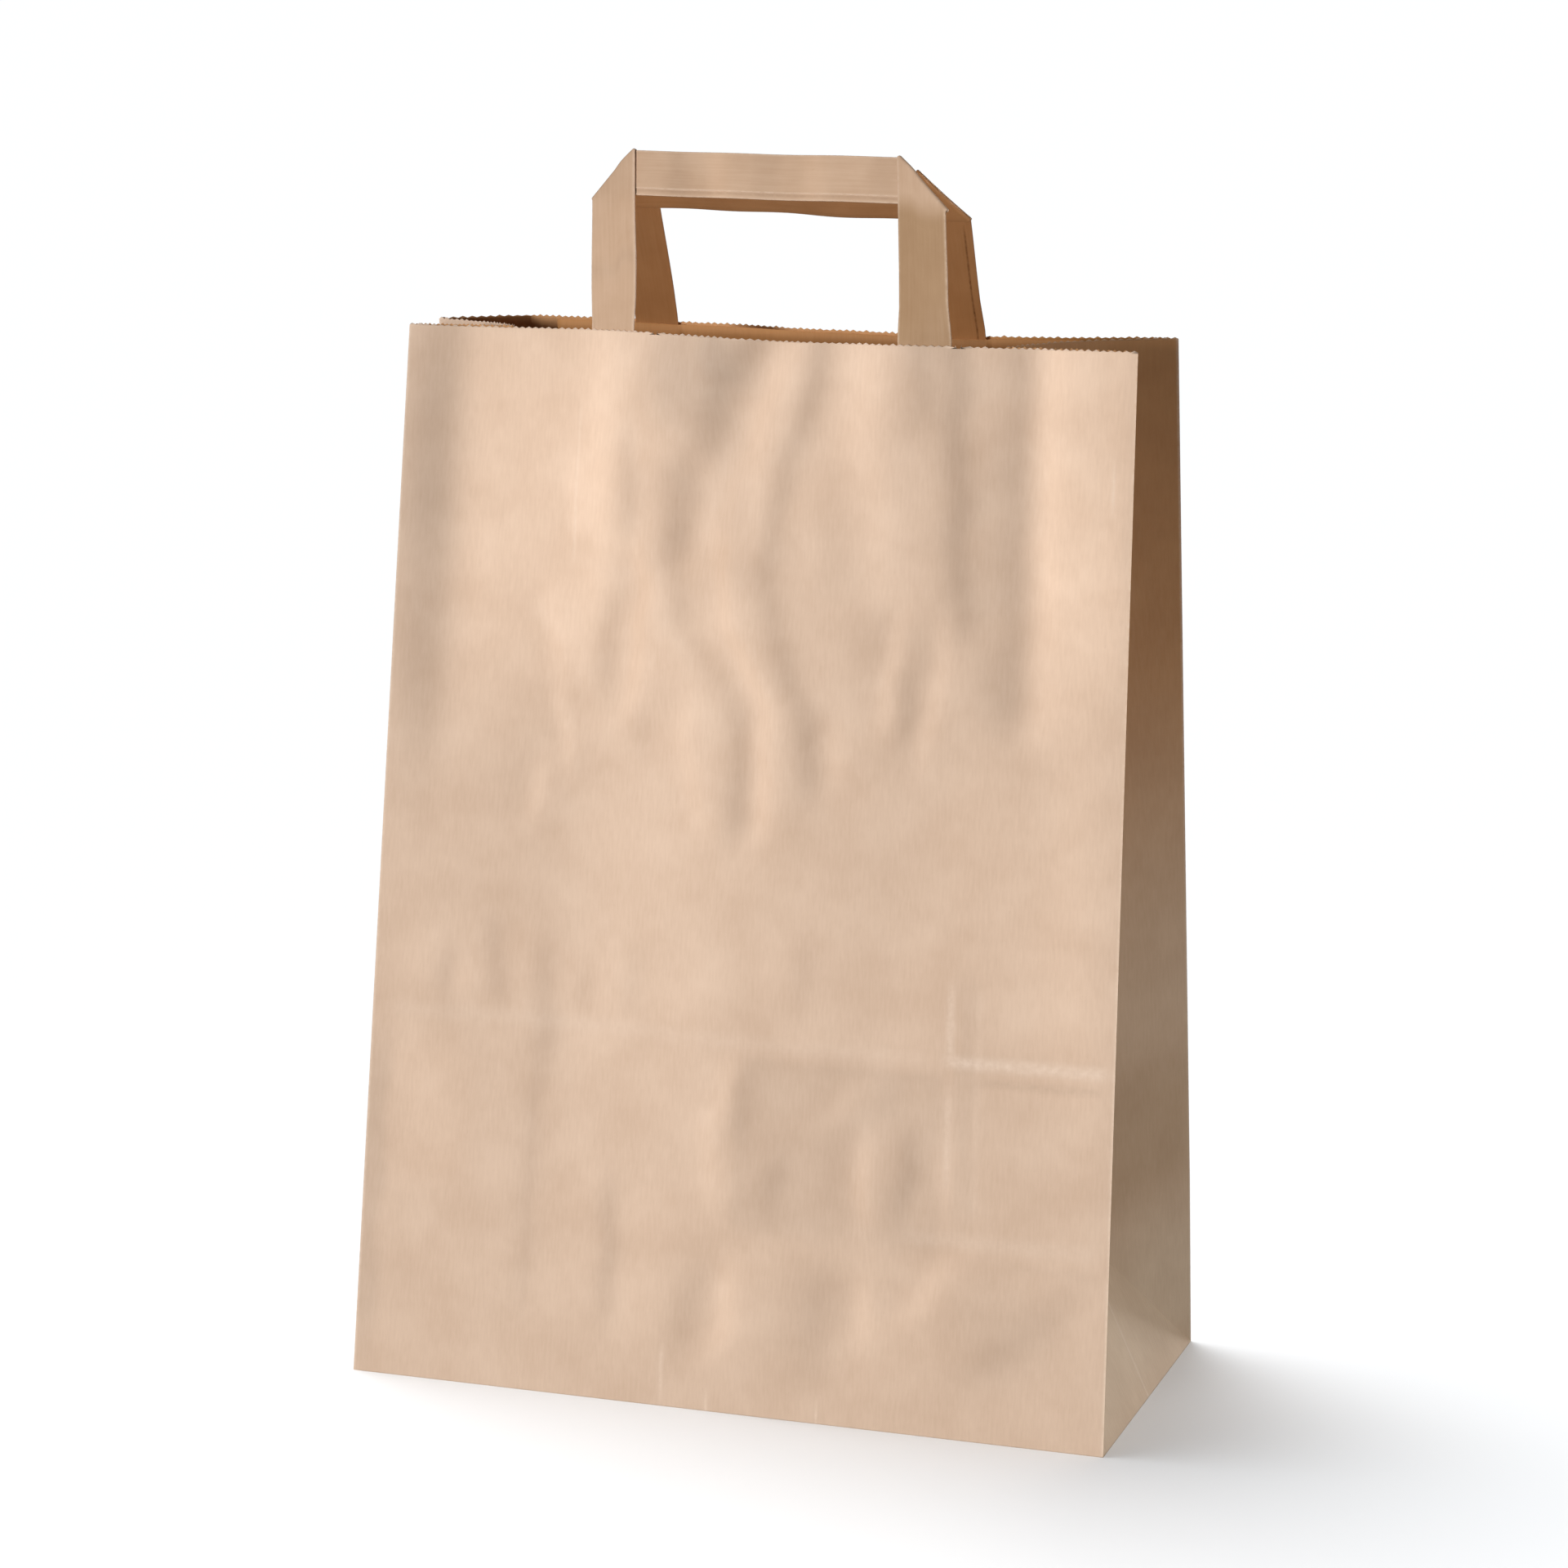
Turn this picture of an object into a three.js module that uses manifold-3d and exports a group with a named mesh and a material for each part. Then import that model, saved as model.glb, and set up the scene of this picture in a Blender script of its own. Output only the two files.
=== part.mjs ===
// Paper carrier bag: one folded kraft sheet with side gussets and a block bottom, and two handles of
// folded flat tape whose legs are glued inside the mouth under a strip of paper.
import * as THREE from 'three';
import { mergeVertices } from 'three/addons/utils/BufferGeometryUtils.js';
import Module from 'manifold-3d';

// Driving dimensions of the sheet, in millimetres
const BAG_WIDTH = 260;
const BAG_DEPTH = 120;
const RIM_HEIGHT = 347.6;
const PAPER = 0.13;
const GLUE_LINE = 0.3;
const TOOTH_PITCH = 2.4;
const TOOTH_DEPTH = 1.0;

// Mouth of the standing bag: the panels lean in and bow, so the rim is shorter than the flat width
const RIM_DRAW = 5.5;
const RIM_SHIFT = 1;
const FRONT_RIM_LEFT = -7;
const FRONT_RIM_RIGHT = -31;
const FRONT_BEND_START = 58;
const FRONT_BEND_WIDTH = 90;
const BACK_RIM_LEFT = 17.5;
const BACK_RIM_BOW = 34;
const BACK_RIM_DIP = 8;
const BACK_RIM_RIGHT = 22;
const BACK_BOW_FROM_LEFT = 24;
const BACK_DIP_FROM_RIGHT = 58;
const BACK_CREASE_BULGE = 1.5;

// Side gussets: how far the fold is tucked in at the floor end and at the mouth
const APEX_TUCK = 25;
const RIM_TUCK = 43;
const RIM_FOLD_CLEARANCE = 3;
const GUSSET_BOW = 7;
const GUSSET_BOW_FROM = 146;

// Soft creases that handling has left in the front. Across its line the paper rises by the step to the
// right, or falls where the step is negative, and it flattens again beyond the reach, at the line's ends
// and near the panel's edges. Points run down the line: from the panel's middle, and up the panel
const CREASE_REACH = 4;
const CREASE_END = 18;
const CREASE_EDGE = 40;
const FRONT_CREASES = [
  {
    step: -2.8,
    halfWidth: 8,
    line: [[12, 380], [-8, 333], [-22, 305], [-27, 280], [-23, 257], [1, 222], [-2, 180]],
  },
  {
    step: 2.4,
    halfWidth: 8,
    line: [[28, 380], [6, 330], [-7, 304], [-10, 280], [-4, 256], [9, 228], [8, 180]],
  },
  { step: -2, halfWidth: 7, line: [[38, 380], [17, 320], [9, 295], [8, 268], [17, 245], [29, 195]] },
  { step: 2.2, halfWidth: 10, line: [[40, 380], [40, 322], [47, 285], [48, 235]] },
  { step: -2.4, halfWidth: 8.5, line: [[72, 380], [72, 320], [75, 235]] },
  { step: -1.6, halfWidth: 6, line: [[-48, 296], [-51, 262], [-51, 215]] },
  { step: 1.6, halfWidth: 6, line: [[-41, 292], [-38, 265], [-44, 215]] },
];

// Block bottom and the lap that closes the tube
const BOTTOM_LAP = 20;
const BACK_LAP = 18;

// Depth by which glued layers of paper are pressed into each other
const LAYER_BITE = 0.013;
const WALL_BITE = 0.03;
const LAP_BITE = 0.065;

// Handles of folded tape, and the strips over their legs
const TAPE_WIDTH = 17;
const TAPE_THICKNESS = 0.7;
const TAPE_SEAM = 2.5;
const HANDLE_SPAN = 126;
const HANDLE_RISE = 59;
const HANDLE_OFFSET = 2.5;
const FOLD_GAP = 0.6;
const GLUED_LEG = 45;
const LEG_BEND = 15;
const FRONT_SWAY = -4.5;
const BACK_SWAY = -0.5;
const HANDLE_TOP_GAP = 5;
const HANDLE_TOP_SHIFT = -5;
const PATCH_WIDTH = 190;
const PATCH_HEIGHT = 50;
const PATCH_DROP = 3;
const PATCH_RAMP = 1.5;

// Facet sizes
const COLUMN = 6.5;
const ROW = 38;
const CREASED_ROW = 18;
const CREASED_FROM = 185;
const TOOTH_STRIP = 4.8;
const GUSSET_COLUMNS = 4;
const LAP_COLUMNS = 3;
const LEG_STEPS = 4;
const FOLD_STEPS = 6;
const TOP_STEPS = 4;

// Points nearer than this are one point
const SAME_POINT = 1e-4;

const wasm = await Module();
wasm.setup();

// Small helpers
const vec = (x, y, z) => new THREE.Vector3(x, y, z);
const mix = (a, b, k) => a + (b - a) * k;
const mixPoints = (a, b, k) => a.clone().lerp(b, k);
const smooth = (k) => THREE.MathUtils.smoothstep(k, 0, 1);
const steps = (count) => Array.from({ length: count + 1 }, (_, i) => i / count);

// Rim of the mouth
const rimWidth = BAG_WIDTH - RIM_DRAW;
const rimLeft = RIM_SHIFT - rimWidth / 2;
const halfDepth = BAG_DEPTH / 2;
const rimX = (s) => rimLeft + s * rimWidth;

function frontRimY(s) {
  const k = (s * rimWidth - FRONT_BEND_START) / FRONT_BEND_WIDTH;
  return mix(FRONT_RIM_LEFT, FRONT_RIM_RIGHT, smooth(k));
}

function backRimY(s) {
  const along = s * rimWidth;
  const dipAt = rimWidth - BACK_DIP_FROM_RIGHT;
  if (along < BACK_BOW_FROM_LEFT) {
    return mix(BACK_RIM_LEFT, BACK_RIM_BOW, along / BACK_BOW_FROM_LEFT);
  }
  if (along < dipAt) {
    const k = (along - BACK_BOW_FROM_LEFT) / (dipAt - BACK_BOW_FROM_LEFT);
    return mix(BACK_RIM_BOW, BACK_RIM_DIP, smooth(k));
  }
  return mix(BACK_RIM_DIP, BACK_RIM_RIGHT, smooth((along - dipAt) / BACK_DIP_FROM_RIGHT));
}

// Panels: each is a ruled sheet from the floor's edge to the rim, s from left to right and t upwards
const baseX = (s) => (s - 0.5) * BAG_WIDTH;
const creaseT = halfDepth / RIM_HEIGHT;

function lineAt(line, height) {
  const next = line.findIndex((point) => point[1] <= height);
  if (next === 0) return line[0][0];
  if (next < 0) return line[line.length - 1][0];
  const [[fromX, from], [toX, to]] = [line[next - 1], line[next]];
  return mix(fromX, toX, (from - height) / (from - to));
}

function creaseRelief({ step, halfWidth, line }, x, height) {
  const away = x - lineAt(line, height);
  const top = line[0][1];
  const bottom = line[line.length - 1][1];
  const ends = smooth((top - height) / CREASE_END) * smooth((height - bottom) / CREASE_END);
  const reach = Math.exp(-((away / (CREASE_REACH * halfWidth)) ** 2));
  return step / 2 * Math.tanh(away / halfWidth) * reach * ends;
}

function frontRelief(x, height) {
  const edge = smooth((BAG_WIDTH / 2 - Math.abs(x)) / CREASE_EDGE);
  return edge * FRONT_CREASES.reduce((sum, crease) => sum + creaseRelief(crease, x, height), 0);
}

function frontSheet(s, t) {
  const base = vec(baseX(s), -halfDepth, 0);
  const rim = vec(rimX(s), frontRimY(s), RIM_HEIGHT);
  const point = base.lerp(rim, t);
  point.y -= frontRelief(baseX(s), t * RIM_HEIGHT);
  return point;
}

function backSheet(s, t) {
  const base = vec(baseX(s), halfDepth, 0);
  const rim = vec(rimX(s), backRimY(s), RIM_HEIGHT);
  const bulge = t < creaseT ? t / creaseT : (1 - t) / (1 - creaseT);
  const point = base.lerp(rim, t);
  point.y += BACK_CREASE_BULGE * bulge;
  return point;
}

// A sheet under construction: points with shared corners, and triangles that face outwards
class Sheet {
  constructor() {
    this.points = [];
    this.triangles = [];
    this.seen = new Map();
  }

  index(point) {
    const key = point.toArray().map((v) => Math.round(v / SAME_POINT)).join();
    if (!this.seen.has(key)) {
      this.seen.set(key, this.points.length);
      this.points.push(point.clone());
    }
    return this.seen.get(key);
  }

  triangle(a, b, c) {
    const corners = [a, b, c].map((p) => this.index(p));
    if (new Set(corners).size === 3) this.triangles.push(corners);
  }

  // Two triangles that meet on the shorter diagonal, so that a slanting crease stays one line
  quad(a, b, c, d) {
    if (a.distanceTo(c) <= b.distanceTo(d)) {
      this.triangle(a, b, c);
      this.triangle(a, c, d);
    } else {
      this.triangle(b, c, d);
      this.triangle(b, d, a);
    }
  }

  // Grid of quads over a face, for lists of s and t
  grid(face, columns, rows) {
    for (let j = 0; j + 1 < rows.length; j += 1) {
      for (let i = 0; i + 1 < columns.length; i += 1) {
        const [s0, s1, t0, t1] = [columns[i], columns[i + 1], rows[j], rows[j + 1]];
        this.quad(face(s0, t0), face(s1, t0), face(s1, t1), face(s0, t1));
      }
    }
  }

  // Strip between a coarse lower row and a fine upper row
  stitch(face, lower, lowerT, upper, upperT) {
    let [i, j] = [0, 0];
    while (i + 1 < lower.length || j + 1 < upper.length) {
      const nextLower = i + 1 < lower.length ? lower[i + 1] : Infinity;
      const nextUpper = j + 1 < upper.length ? upper[j + 1] : Infinity;
      const a = face(lower[i], lowerT);
      const b = face(upper[j], upperT);
      if (nextLower <= nextUpper) {
        this.triangle(a, face(nextLower, lowerT), b);
        i += 1;
      } else {
        this.triangle(a, face(nextUpper, upperT), b);
        j += 1;
      }
    }
  }

  // Offset of every point that keeps each face around it one thickness away, with floor points on the floor.
  // The small damping settles points whose faces all lie in one plane.
  offsets(thickness) {
    const sums = this.points.map(() => ({ m: new Array(9).fill(0), b: vec(0, 0, 0) }));
    const face = new THREE.Triangle();
    const normal = vec(0, 0, 0);
    for (const corners of this.triangles) {
      face.setFromPointsAndIndices(this.points, ...corners);
      face.getNormal(normal);
      const n = normal.toArray();
      for (const corner of corners) {
        n.forEach((p, i) => n.forEach((q, j) => { sums[corner].m[3 * i + j] += p * q; }));
        sums[corner].b.addScaledVector(normal, -thickness);
      }
    }
    const damping = 1e-3;
    return sums.map(({ m, b }, i) => {
      const matrix = new THREE.Matrix3().fromArray(m);
      [0, 4, 8].forEach((k) => { matrix.elements[k] += damping; });
      const shift = b.applyMatrix3(matrix.invert());
      if (this.points[i].z === 0) shift.z = 0;
      return shift;
    });
  }

  // Closed solid: this sheet outside, its offset copy inside, and a wall along every open edge
  thicken(thickness) {
    const shift = this.offsets(thickness);
    const count = this.points.length;
    const inner = this.points.map((p, i) => p.clone().add(shift[i]));
    const faces = this.triangles.flatMap(([a, b, c]) => [[a, b, c], [c + count, b + count, a + count]]);
    const open = new Map();
    for (const corners of this.triangles) {
      corners.forEach((a, k) => {
        const b = corners[(k + 1) % 3];
        if (!open.delete(`${b},${a}`)) open.set(`${a},${b}`, [a, b]);
      });
    }
    for (const [a, b] of open.values()) {
      faces.push([b, a, a + count], [b, a + count, b + count]);
    }
    return geometryFrom([...this.points, ...inner], faces);
  }
}

function geometryFrom(points, faces) {
  const geometry = new THREE.BufferGeometry();
  const numbers = points.flatMap((p) => p.toArray());
  geometry.setAttribute('position', new THREE.Float32BufferAttribute(numbers, 3));
  geometry.setIndex(faces.flat());
  return geometry;
}

// Joining closed geometries
function solidFrom(geometry) {
  const bare = geometry.clone();
  bare.deleteAttribute('normal');
  bare.deleteAttribute('uv');
  const merged = mergeVertices(bare, SAME_POINT);
  return new wasm.Manifold(new wasm.Mesh({
    numProp: 3,
    vertProperties: new Float32Array(merged.attributes.position.array),
    triVerts: new Uint32Array(merged.index.array),
  }));
}

function joined(geometries) {
  const solid = geometries.map(solidFrom).reduce((whole, piece) => whole.add(piece));
  const mesh = solid.getMesh();
  const geometry = new THREE.BufferGeometry();
  geometry.setAttribute('position', new THREE.Float32BufferAttribute(mesh.vertProperties, 3));
  geometry.setIndex(new THREE.Uint32BufferAttribute(mesh.triVerts, 1));
  return geometry;
}

// One wall panel: plain rows below, then the strip that carries the sawtooth cut
const toothRootT = 1 - TOOTH_DEPTH / RIM_HEIGHT;
const stripT = 1 - (TOOTH_DEPTH + TOOTH_STRIP) / RIM_HEIGHT;
const creasedT = CREASED_FROM / RIM_HEIGHT;
const patchT = 1 - (PATCH_DROP + PATCH_HEIGHT) / RIM_HEIGHT;

function rowsBetween(from, to, row) {
  const count = Math.round((to - from) * RIM_HEIGHT / row);
  return steps(count).map((k) => mix(from, to, k));
}

const panelColumns = steps(Math.round(BAG_WIDTH / COLUMN));
const patchRows = rowsBetween(patchT, stripT, CREASED_ROW);
const upperRows = [
  ...rowsBetween(creaseT, creasedT, ROW),
  ...rowsBetween(creasedT, patchT, CREASED_ROW).slice(1),
  ...patchRows.slice(1),
];

function addSawtooth(sheet, face, columns) {
  const length = face(0, 1).distanceTo(face(0.5, 1)) + face(0.5, 1).distanceTo(face(1, 1));
  const count = Math.round(length / TOOTH_PITCH);
  const roots = steps(count);
  sheet.stitch(face, columns, stripT, roots, toothRootT);
  for (let i = 0; i < count; i += 1) {
    const tip = face((i + 0.5) / count, 1);
    sheet.triangle(face(roots[i], toothRootT), face(roots[i + 1], toothRootT), tip);
  }
}

// A side gusset between two panel edges: folded triangle at the floor, and two halves above it.
// Towards the mouth each half may bow by its own vector
function addGusset(sheet, firstEdge, secondEdge, apex, rimFold, bows) {
  const fold = (t) => mixPoints(apex, rimFold, (t - creaseT) / (1 - creaseT));
  const bowShare = (s, t) => {
    const rise = (t * RIM_HEIGHT - GUSSET_BOW_FROM) / (RIM_HEIGHT - GUSSET_BOW_FROM);
    return Math.sin(Math.PI * s) * smooth(rise);
  };
  sheet.triangle(firstEdge(0), secondEdge(0), apex);
  for (const [t0, t1] of [[0, creaseT / 2], [creaseT / 2, creaseT]]) {
    sheet.triangle(firstEdge(t0), apex, firstEdge(t1));
    sheet.triangle(apex, secondEdge(t0), secondEdge(t1));
  }
  const halves = [
    (s, t) => mixPoints(firstEdge(t), fold(t), s).addScaledVector(bows[0], bowShare(s, t)),
    (s, t) => mixPoints(fold(t), secondEdge(t), s).addScaledVector(bows[1], bowShare(s, t)),
  ];
  const columns = steps(GUSSET_COLUMNS);
  for (const half of halves) {
    sheet.grid(half, [0, 1], upperRows.slice(0, 2));
    sheet.stitch(half, [0, 1], upperRows[1], columns, upperRows[2]);
    sheet.grid(half, columns, upperRows.slice(2));
    addSawtooth(sheet, half, columns);
  }
}

// Walls of the bag, one after the other round the tube
function bagWalls() {
  const sheet = new Sheet();
  const rows = [0, creaseT / 2, ...upperRows];
  const backwards = (s, t) => backSheet(1 - s, t);
  const apexZ = Math.sqrt(halfDepth ** 2 - APEX_TUCK ** 2);
  for (const face of [frontSheet, backwards]) {
    sheet.grid(face, panelColumns, rows);
    addSawtooth(sheet, face, panelColumns);
  }
  const gussets = [
    { s: 1, sign: 1, first: frontSheet, second: backSheet },
    { s: 0, sign: -1, first: backSheet, second: frontSheet },
  ];
  for (const { s, sign, first, second } of gussets) {
    const apex = vec(sign * (BAG_WIDTH / 2 - APEX_TUCK), 0, apexZ);
    const tucked = s - sign * RIM_TUCK / rimWidth;
    const rimFold = frontSheet(tucked, 1);
    rimFold.y += RIM_FOLD_CLEARANCE;
    const backBow = vec(-sign * GUSSET_BOW, GUSSET_BOW / 2, 0);
    const bows = [first, second].map((panel) => (panel === backSheet ? backBow : vec(0, 0, 0)));
    addGusset(sheet, (t) => first(s, t), (t) => second(s, t), apex, rimFold, bows);
  }
  return sheet.thicken(PAPER);
}

// Bottom flaps: the end flaps lie inside, then the front flap, and the back flap is outermost
function plate(outline, low) {
  const shape = new THREE.Shape(outline.map(([x, y]) => new THREE.Vector2(x, y)));
  return new THREE.ExtrudeGeometry(shape, { depth: PAPER, bevelEnabled: false }).translate(0, 0, low);
}

function bottomFlaps() {
  const inset = PAPER - WALL_BITE;
  const x = BAG_WIDTH / 2 - inset;
  const y = halfDepth - inset;
  const reach = halfDepth + BOTTOM_LAP / 2 - inset;
  const flap = [[-x, -y], [x, -y], [x - reach, reach - y], [reach - x, reach - y]];
  const backFlap = flap.map(([px, py]) => [-px, -py]);
  const endFlap = [[x - reach, -y], [x, -y], [x, y], [x - reach, y]];
  const otherEnd = endFlap.map(([px, py]) => [-px, -py]);
  const layer = PAPER - LAYER_BITE;
  return [
    plate(backFlap, 0),
    plate(flap, layer),
    plate(endFlap, 2 * layer),
    plate(otherEnd, 2 * layer),
  ];
}

// Lap that closes the tube: a second layer down the back panel's edge
function backLap() {
  const sheet = new Sheet();
  const columns = steps(LAP_COLUMNS).map((k) => mix(BACK_LAP, PAPER, k) / BAG_WIDTH);
  const rows = [PAPER / RIM_HEIGHT, creaseT / 2, ...upperRows];
  sheet.grid(backSheet, columns, rows);
  const lap = new Sheet();
  const shift = sheet.offsets(-PAPER);
  for (const corners of sheet.triangles) {
    lap.triangle(...corners.map((i) => sheet.points[i].clone().add(shift[i])));
  }
  return lap.thicken(PAPER + LAP_BITE);
}

// Inside of a panel: u along the rim from the handle's middle, v upwards from the rim, w into the bag
const sides = {
  front: { sheet: frontSheet, inward: 1, sway: FRONT_SWAY },
  back: { sheet: backSheet, inward: -1, sway: BACK_SWAY },
};

const alongRim = (u) => (u + HANDLE_OFFSET - rimLeft) / rimWidth;

function panelNormal(side, s, t) {
  const step = 1e-3;
  const across = side.sheet(s + step, t).sub(side.sheet(s - step, t));
  const up = side.sheet(s, t).sub(side.sheet(s, t - step));
  return up.cross(across).normalize().multiplyScalar(side.inward);
}

function insidePanel(side, u, v, w) {
  const s = alongRim(u);
  const t = 1 + v / RIM_HEIGHT;
  return side.sheet(s, t).addScaledVector(panelNormal(side, s, t), PAPER + w);
}

// Above the rim a handle leans in from its panel until the two handles almost meet
const legMiddle = (HANDLE_SPAN - TAPE_WIDTH) / 2;
const legW = GLUE_LINE + TAPE_THICKNESS / 2;

function handleFrame(side) {
  const feet = [-legMiddle, legMiddle].map((u) => insidePanel(side, u, 0, legW));
  const tops = feet.map((foot, i) => {
    const s = alongRim(i ? legMiddle : -legMiddle);
    const mouthMiddle = (frontRimY(s) + backRimY(s)) / 2;
    const topY = mouthMiddle + HANDLE_TOP_SHIFT - side.inward * HANDLE_TOP_GAP / 2;
    const lean = topY - foot.y;
    const rise = Math.sqrt(HANDLE_RISE ** 2 - lean ** 2 - side.sway ** 2);
    return vec(foot.x + side.sway, topY, foot.z + rise);
  });
  const across = feet[1].clone().sub(feet[0]);
  const up = tops[0].clone().sub(feet[0]);
  const inward = up.cross(across).normalize().multiplyScalar(side.inward);
  return { feet, tops, inward };
}

function handlePoint(side, frame, u, v, w) {
  if (v <= 0) return insidePanel(side, u, v, legW + w);
  const k = (u + legMiddle) / (2 * legMiddle);
  const foot = frame.feet[0].clone().lerp(frame.feet[1], k);
  const top = frame.tops[0].clone().lerp(frame.tops[1], k);
  const free = smooth(v / LEG_BEND);
  const slack = insidePanel(side, u, 0, legW).sub(foot);
  const normal = panelNormal(side, alongRim(u), 1).lerp(frame.inward, free).normalize();
  const point = foot.lerp(top, v / HANDLE_RISE);
  return point.addScaledVector(slack, 1 - free).addScaledVector(normal, w);
}

// Tape section: a across the tape from its outer edge, h through it, with the step of its glued seam
const faceSteps = steps(Math.ceil(TAPE_WIDTH / COLUMN));
const tapeSection = [
  [0, PAPER - TAPE_THICKNESS / 2],
  [TAPE_SEAM, PAPER - TAPE_THICKNESS / 2],
  ...faceSteps.map((k) => [mix(TAPE_SEAM, TAPE_WIDTH, k), -TAPE_THICKNESS / 2]),
  ...faceSteps.map((k) => [mix(TAPE_WIDTH, 0, k), TAPE_THICKNESS / 2]),
];

// Left half of the tape as rows of (u, v, w): up the leg, over the 45 degree fold, along the top
function leftTapeRows() {
  const outer = -HANDLE_SPAN / 2;
  const foldFoot = HANDLE_RISE - TAPE_WIDTH;
  const legTop = foldFoot - TAPE_WIDTH / 2;
  const bend = (TAPE_THICKNESS + FOLD_GAP) / 2;
  const rows = [];
  const legHeights = [-GLUED_LEG, -GLUED_LEG / 2, -LEG_BEND / 2, 0];
  const freeHeights = steps(LEG_STEPS).slice(1).map((k) => k * legTop);
  for (const height of [...legHeights, ...freeHeights]) {
    rows.push(tapeSection.map(([a, h]) => [outer + a, height, -h]));
  }
  for (const k of steps(FOLD_STEPS)) {
    const angle = k * Math.PI;
    rows.push(tapeSection.map(([a, h]) => {
      const out = (bend + h) * Math.sin(angle) * Math.SQRT1_2;
      return [outer + a - out, foldFoot + a + out, bend - (bend + h) * Math.cos(angle)];
    }));
  }
  for (const k of steps(TOP_STEPS).slice(1)) {
    const start = outer + TAPE_WIDTH;
    rows.push(tapeSection.map(([a, h]) => {
      const slant = (1 - k) * (a - TAPE_WIDTH);
      return [mix(start, 0, k) + slant, foldFoot + a, 2 * bend + h];
    }));
  }
  return rows;
}

function handle(side) {
  const frame = handleFrame(side);
  const left = leftTapeRows();
  const right = left.slice(0, -1).reverse().map((row) => row.map(([u, v, w]) => [-u, v, w]));
  const placed = (row) => row.map(([u, v, w]) => handlePoint(side, frame, u, v, w));
  const rows = [...left, ...right].map(placed);
  const n = tapeSection.length;
  const faces = [];
  for (let j = 0; j + 1 < rows.length; j += 1) {
    for (let i = 0; i < n; i += 1) {
      const [a, b] = [j * n + i, j * n + (i + 1) % n];
      faces.push([a, b, b + n], [a, b + n, a + n]);
    }
  }
  const outline = tapeSection.map(([a, h]) => new THREE.Vector2(a, h));
  for (const corners of THREE.ShapeUtils.triangulateShape(outline, [])) {
    const last = (rows.length - 1) * n;
    faces.push(corners.slice().reverse(), corners.map((i) => last + i));
  }
  return outward(geometryFrom(rows.flat(), faces));
}

// Turn a closed geometry so that its faces point out
function outward(geometry) {
  const p = geometry.attributes.position;
  const index = geometry.index.array;
  let volume = 0;
  for (let i = 0; i < index.length; i += 3) {
    const corner = (k) => new THREE.Vector3().fromBufferAttribute(p, index[i + k]);
    const [a, b, c] = [corner(0), corner(1), corner(2)];
    volume += a.dot(b.cross(c));
  }
  if (volume < 0) {
    for (let i = 0; i < index.length; i += 3) {
      [index[i], index[i + 1]] = [index[i + 1], index[i]];
    }
  }
  return geometry;
}

// Strip of paper over a handle's legs: flat on the panel, and raised where a leg lies under it.
// Its facets keep to the panel's columns and rows, so it follows every crease
function patch(side) {
  const raised = TAPE_THICKNESS + GLUE_LINE;
  const legInner = HANDLE_SPAN / 2 - TAPE_WIDTH - GLUE_LINE;
  const legOuter = HANDLE_SPAN / 2 + GLUE_LINE;
  const half = [
    [legInner - PATCH_RAMP, 0],
    [legInner, raised],
    [legOuter, raised],
    [legOuter + PATCH_RAMP, 0],
  ];
  const mirrored = half.map(([u, w]) => [-u, w]).reverse();
  const corners = [[-PATCH_WIDTH / 2, 0], ...mirrored, ...half, [PATCH_WIDTH / 2, 0]];
  const columns = panelColumns.map((s) => rimX(s) - HANDLE_OFFSET);
  const line = [corners[0]];
  corners.slice(1).forEach(([u, w], i) => {
    const [fromU, fromW] = corners[i];
    const between = columns.filter((c) => c > fromU + GLUE_LINE && c < u - GLUE_LINE);
    between.forEach((c) => line.push([c, mix(fromW, w, (c - fromU) / (u - fromU))]));
    line.push([u, w]);
  });
  const rows = patchRows.map((t) => (t - 1) * RIM_HEIGHT);
  const levels = [...rows.filter((v) => v < -PATCH_DROP), -PATCH_DROP];
  const face = (i, v) => insidePanel(side, line[i][0], v, GLUE_LINE + line[i][1]);
  const sheet = new Sheet();
  sheet.grid(face, line.map((_, i) => i), levels);
  return outward(sheet.thicken(-side.inward * PAPER));
}

// The bag
const kraft = new THREE.MeshStandardMaterial({ color: 0xd9ba9f, roughness: 0.85, metalness: 0 });
const tapeKraft = new THREE.MeshStandardMaterial({ color: 0xc0a084, roughness: 0.82, metalness: 0 });
const patchKraft = new THREE.MeshStandardMaterial({ color: 0xcaa98b, roughness: 0.85, metalness: 0 });

const bag = new THREE.Group();

function add(name, geometry, material) {
  const mesh = new THREE.Mesh(geometry, material);
  mesh.name = name;
  bag.add(mesh);
}

add('bag_body', joined([bagWalls(), ...bottomFlaps(), backLap()]), kraft);
add('front_handle', handle(sides.front), tapeKraft);
add('back_handle', handle(sides.back), tapeKraft);
add('front_patch', patch(sides.front), patchKraft);
add('back_patch', patch(sides.back), patchKraft);

export default bag;
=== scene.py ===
# %% [markdown]
# # A paper carrier bag with flat tape handles
#
# This lesson dresses a paper carrier bag: one kraft sheet folded into a tube with side gussets and a
# block bottom, and two handles of folded tape glued inside the mouth. The imported model gives the
# frame that every piece sits in. We load it first.

# %% Load the frame
import math

import bpy
import numpy as np
from mathutils import Matrix, Vector


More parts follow.
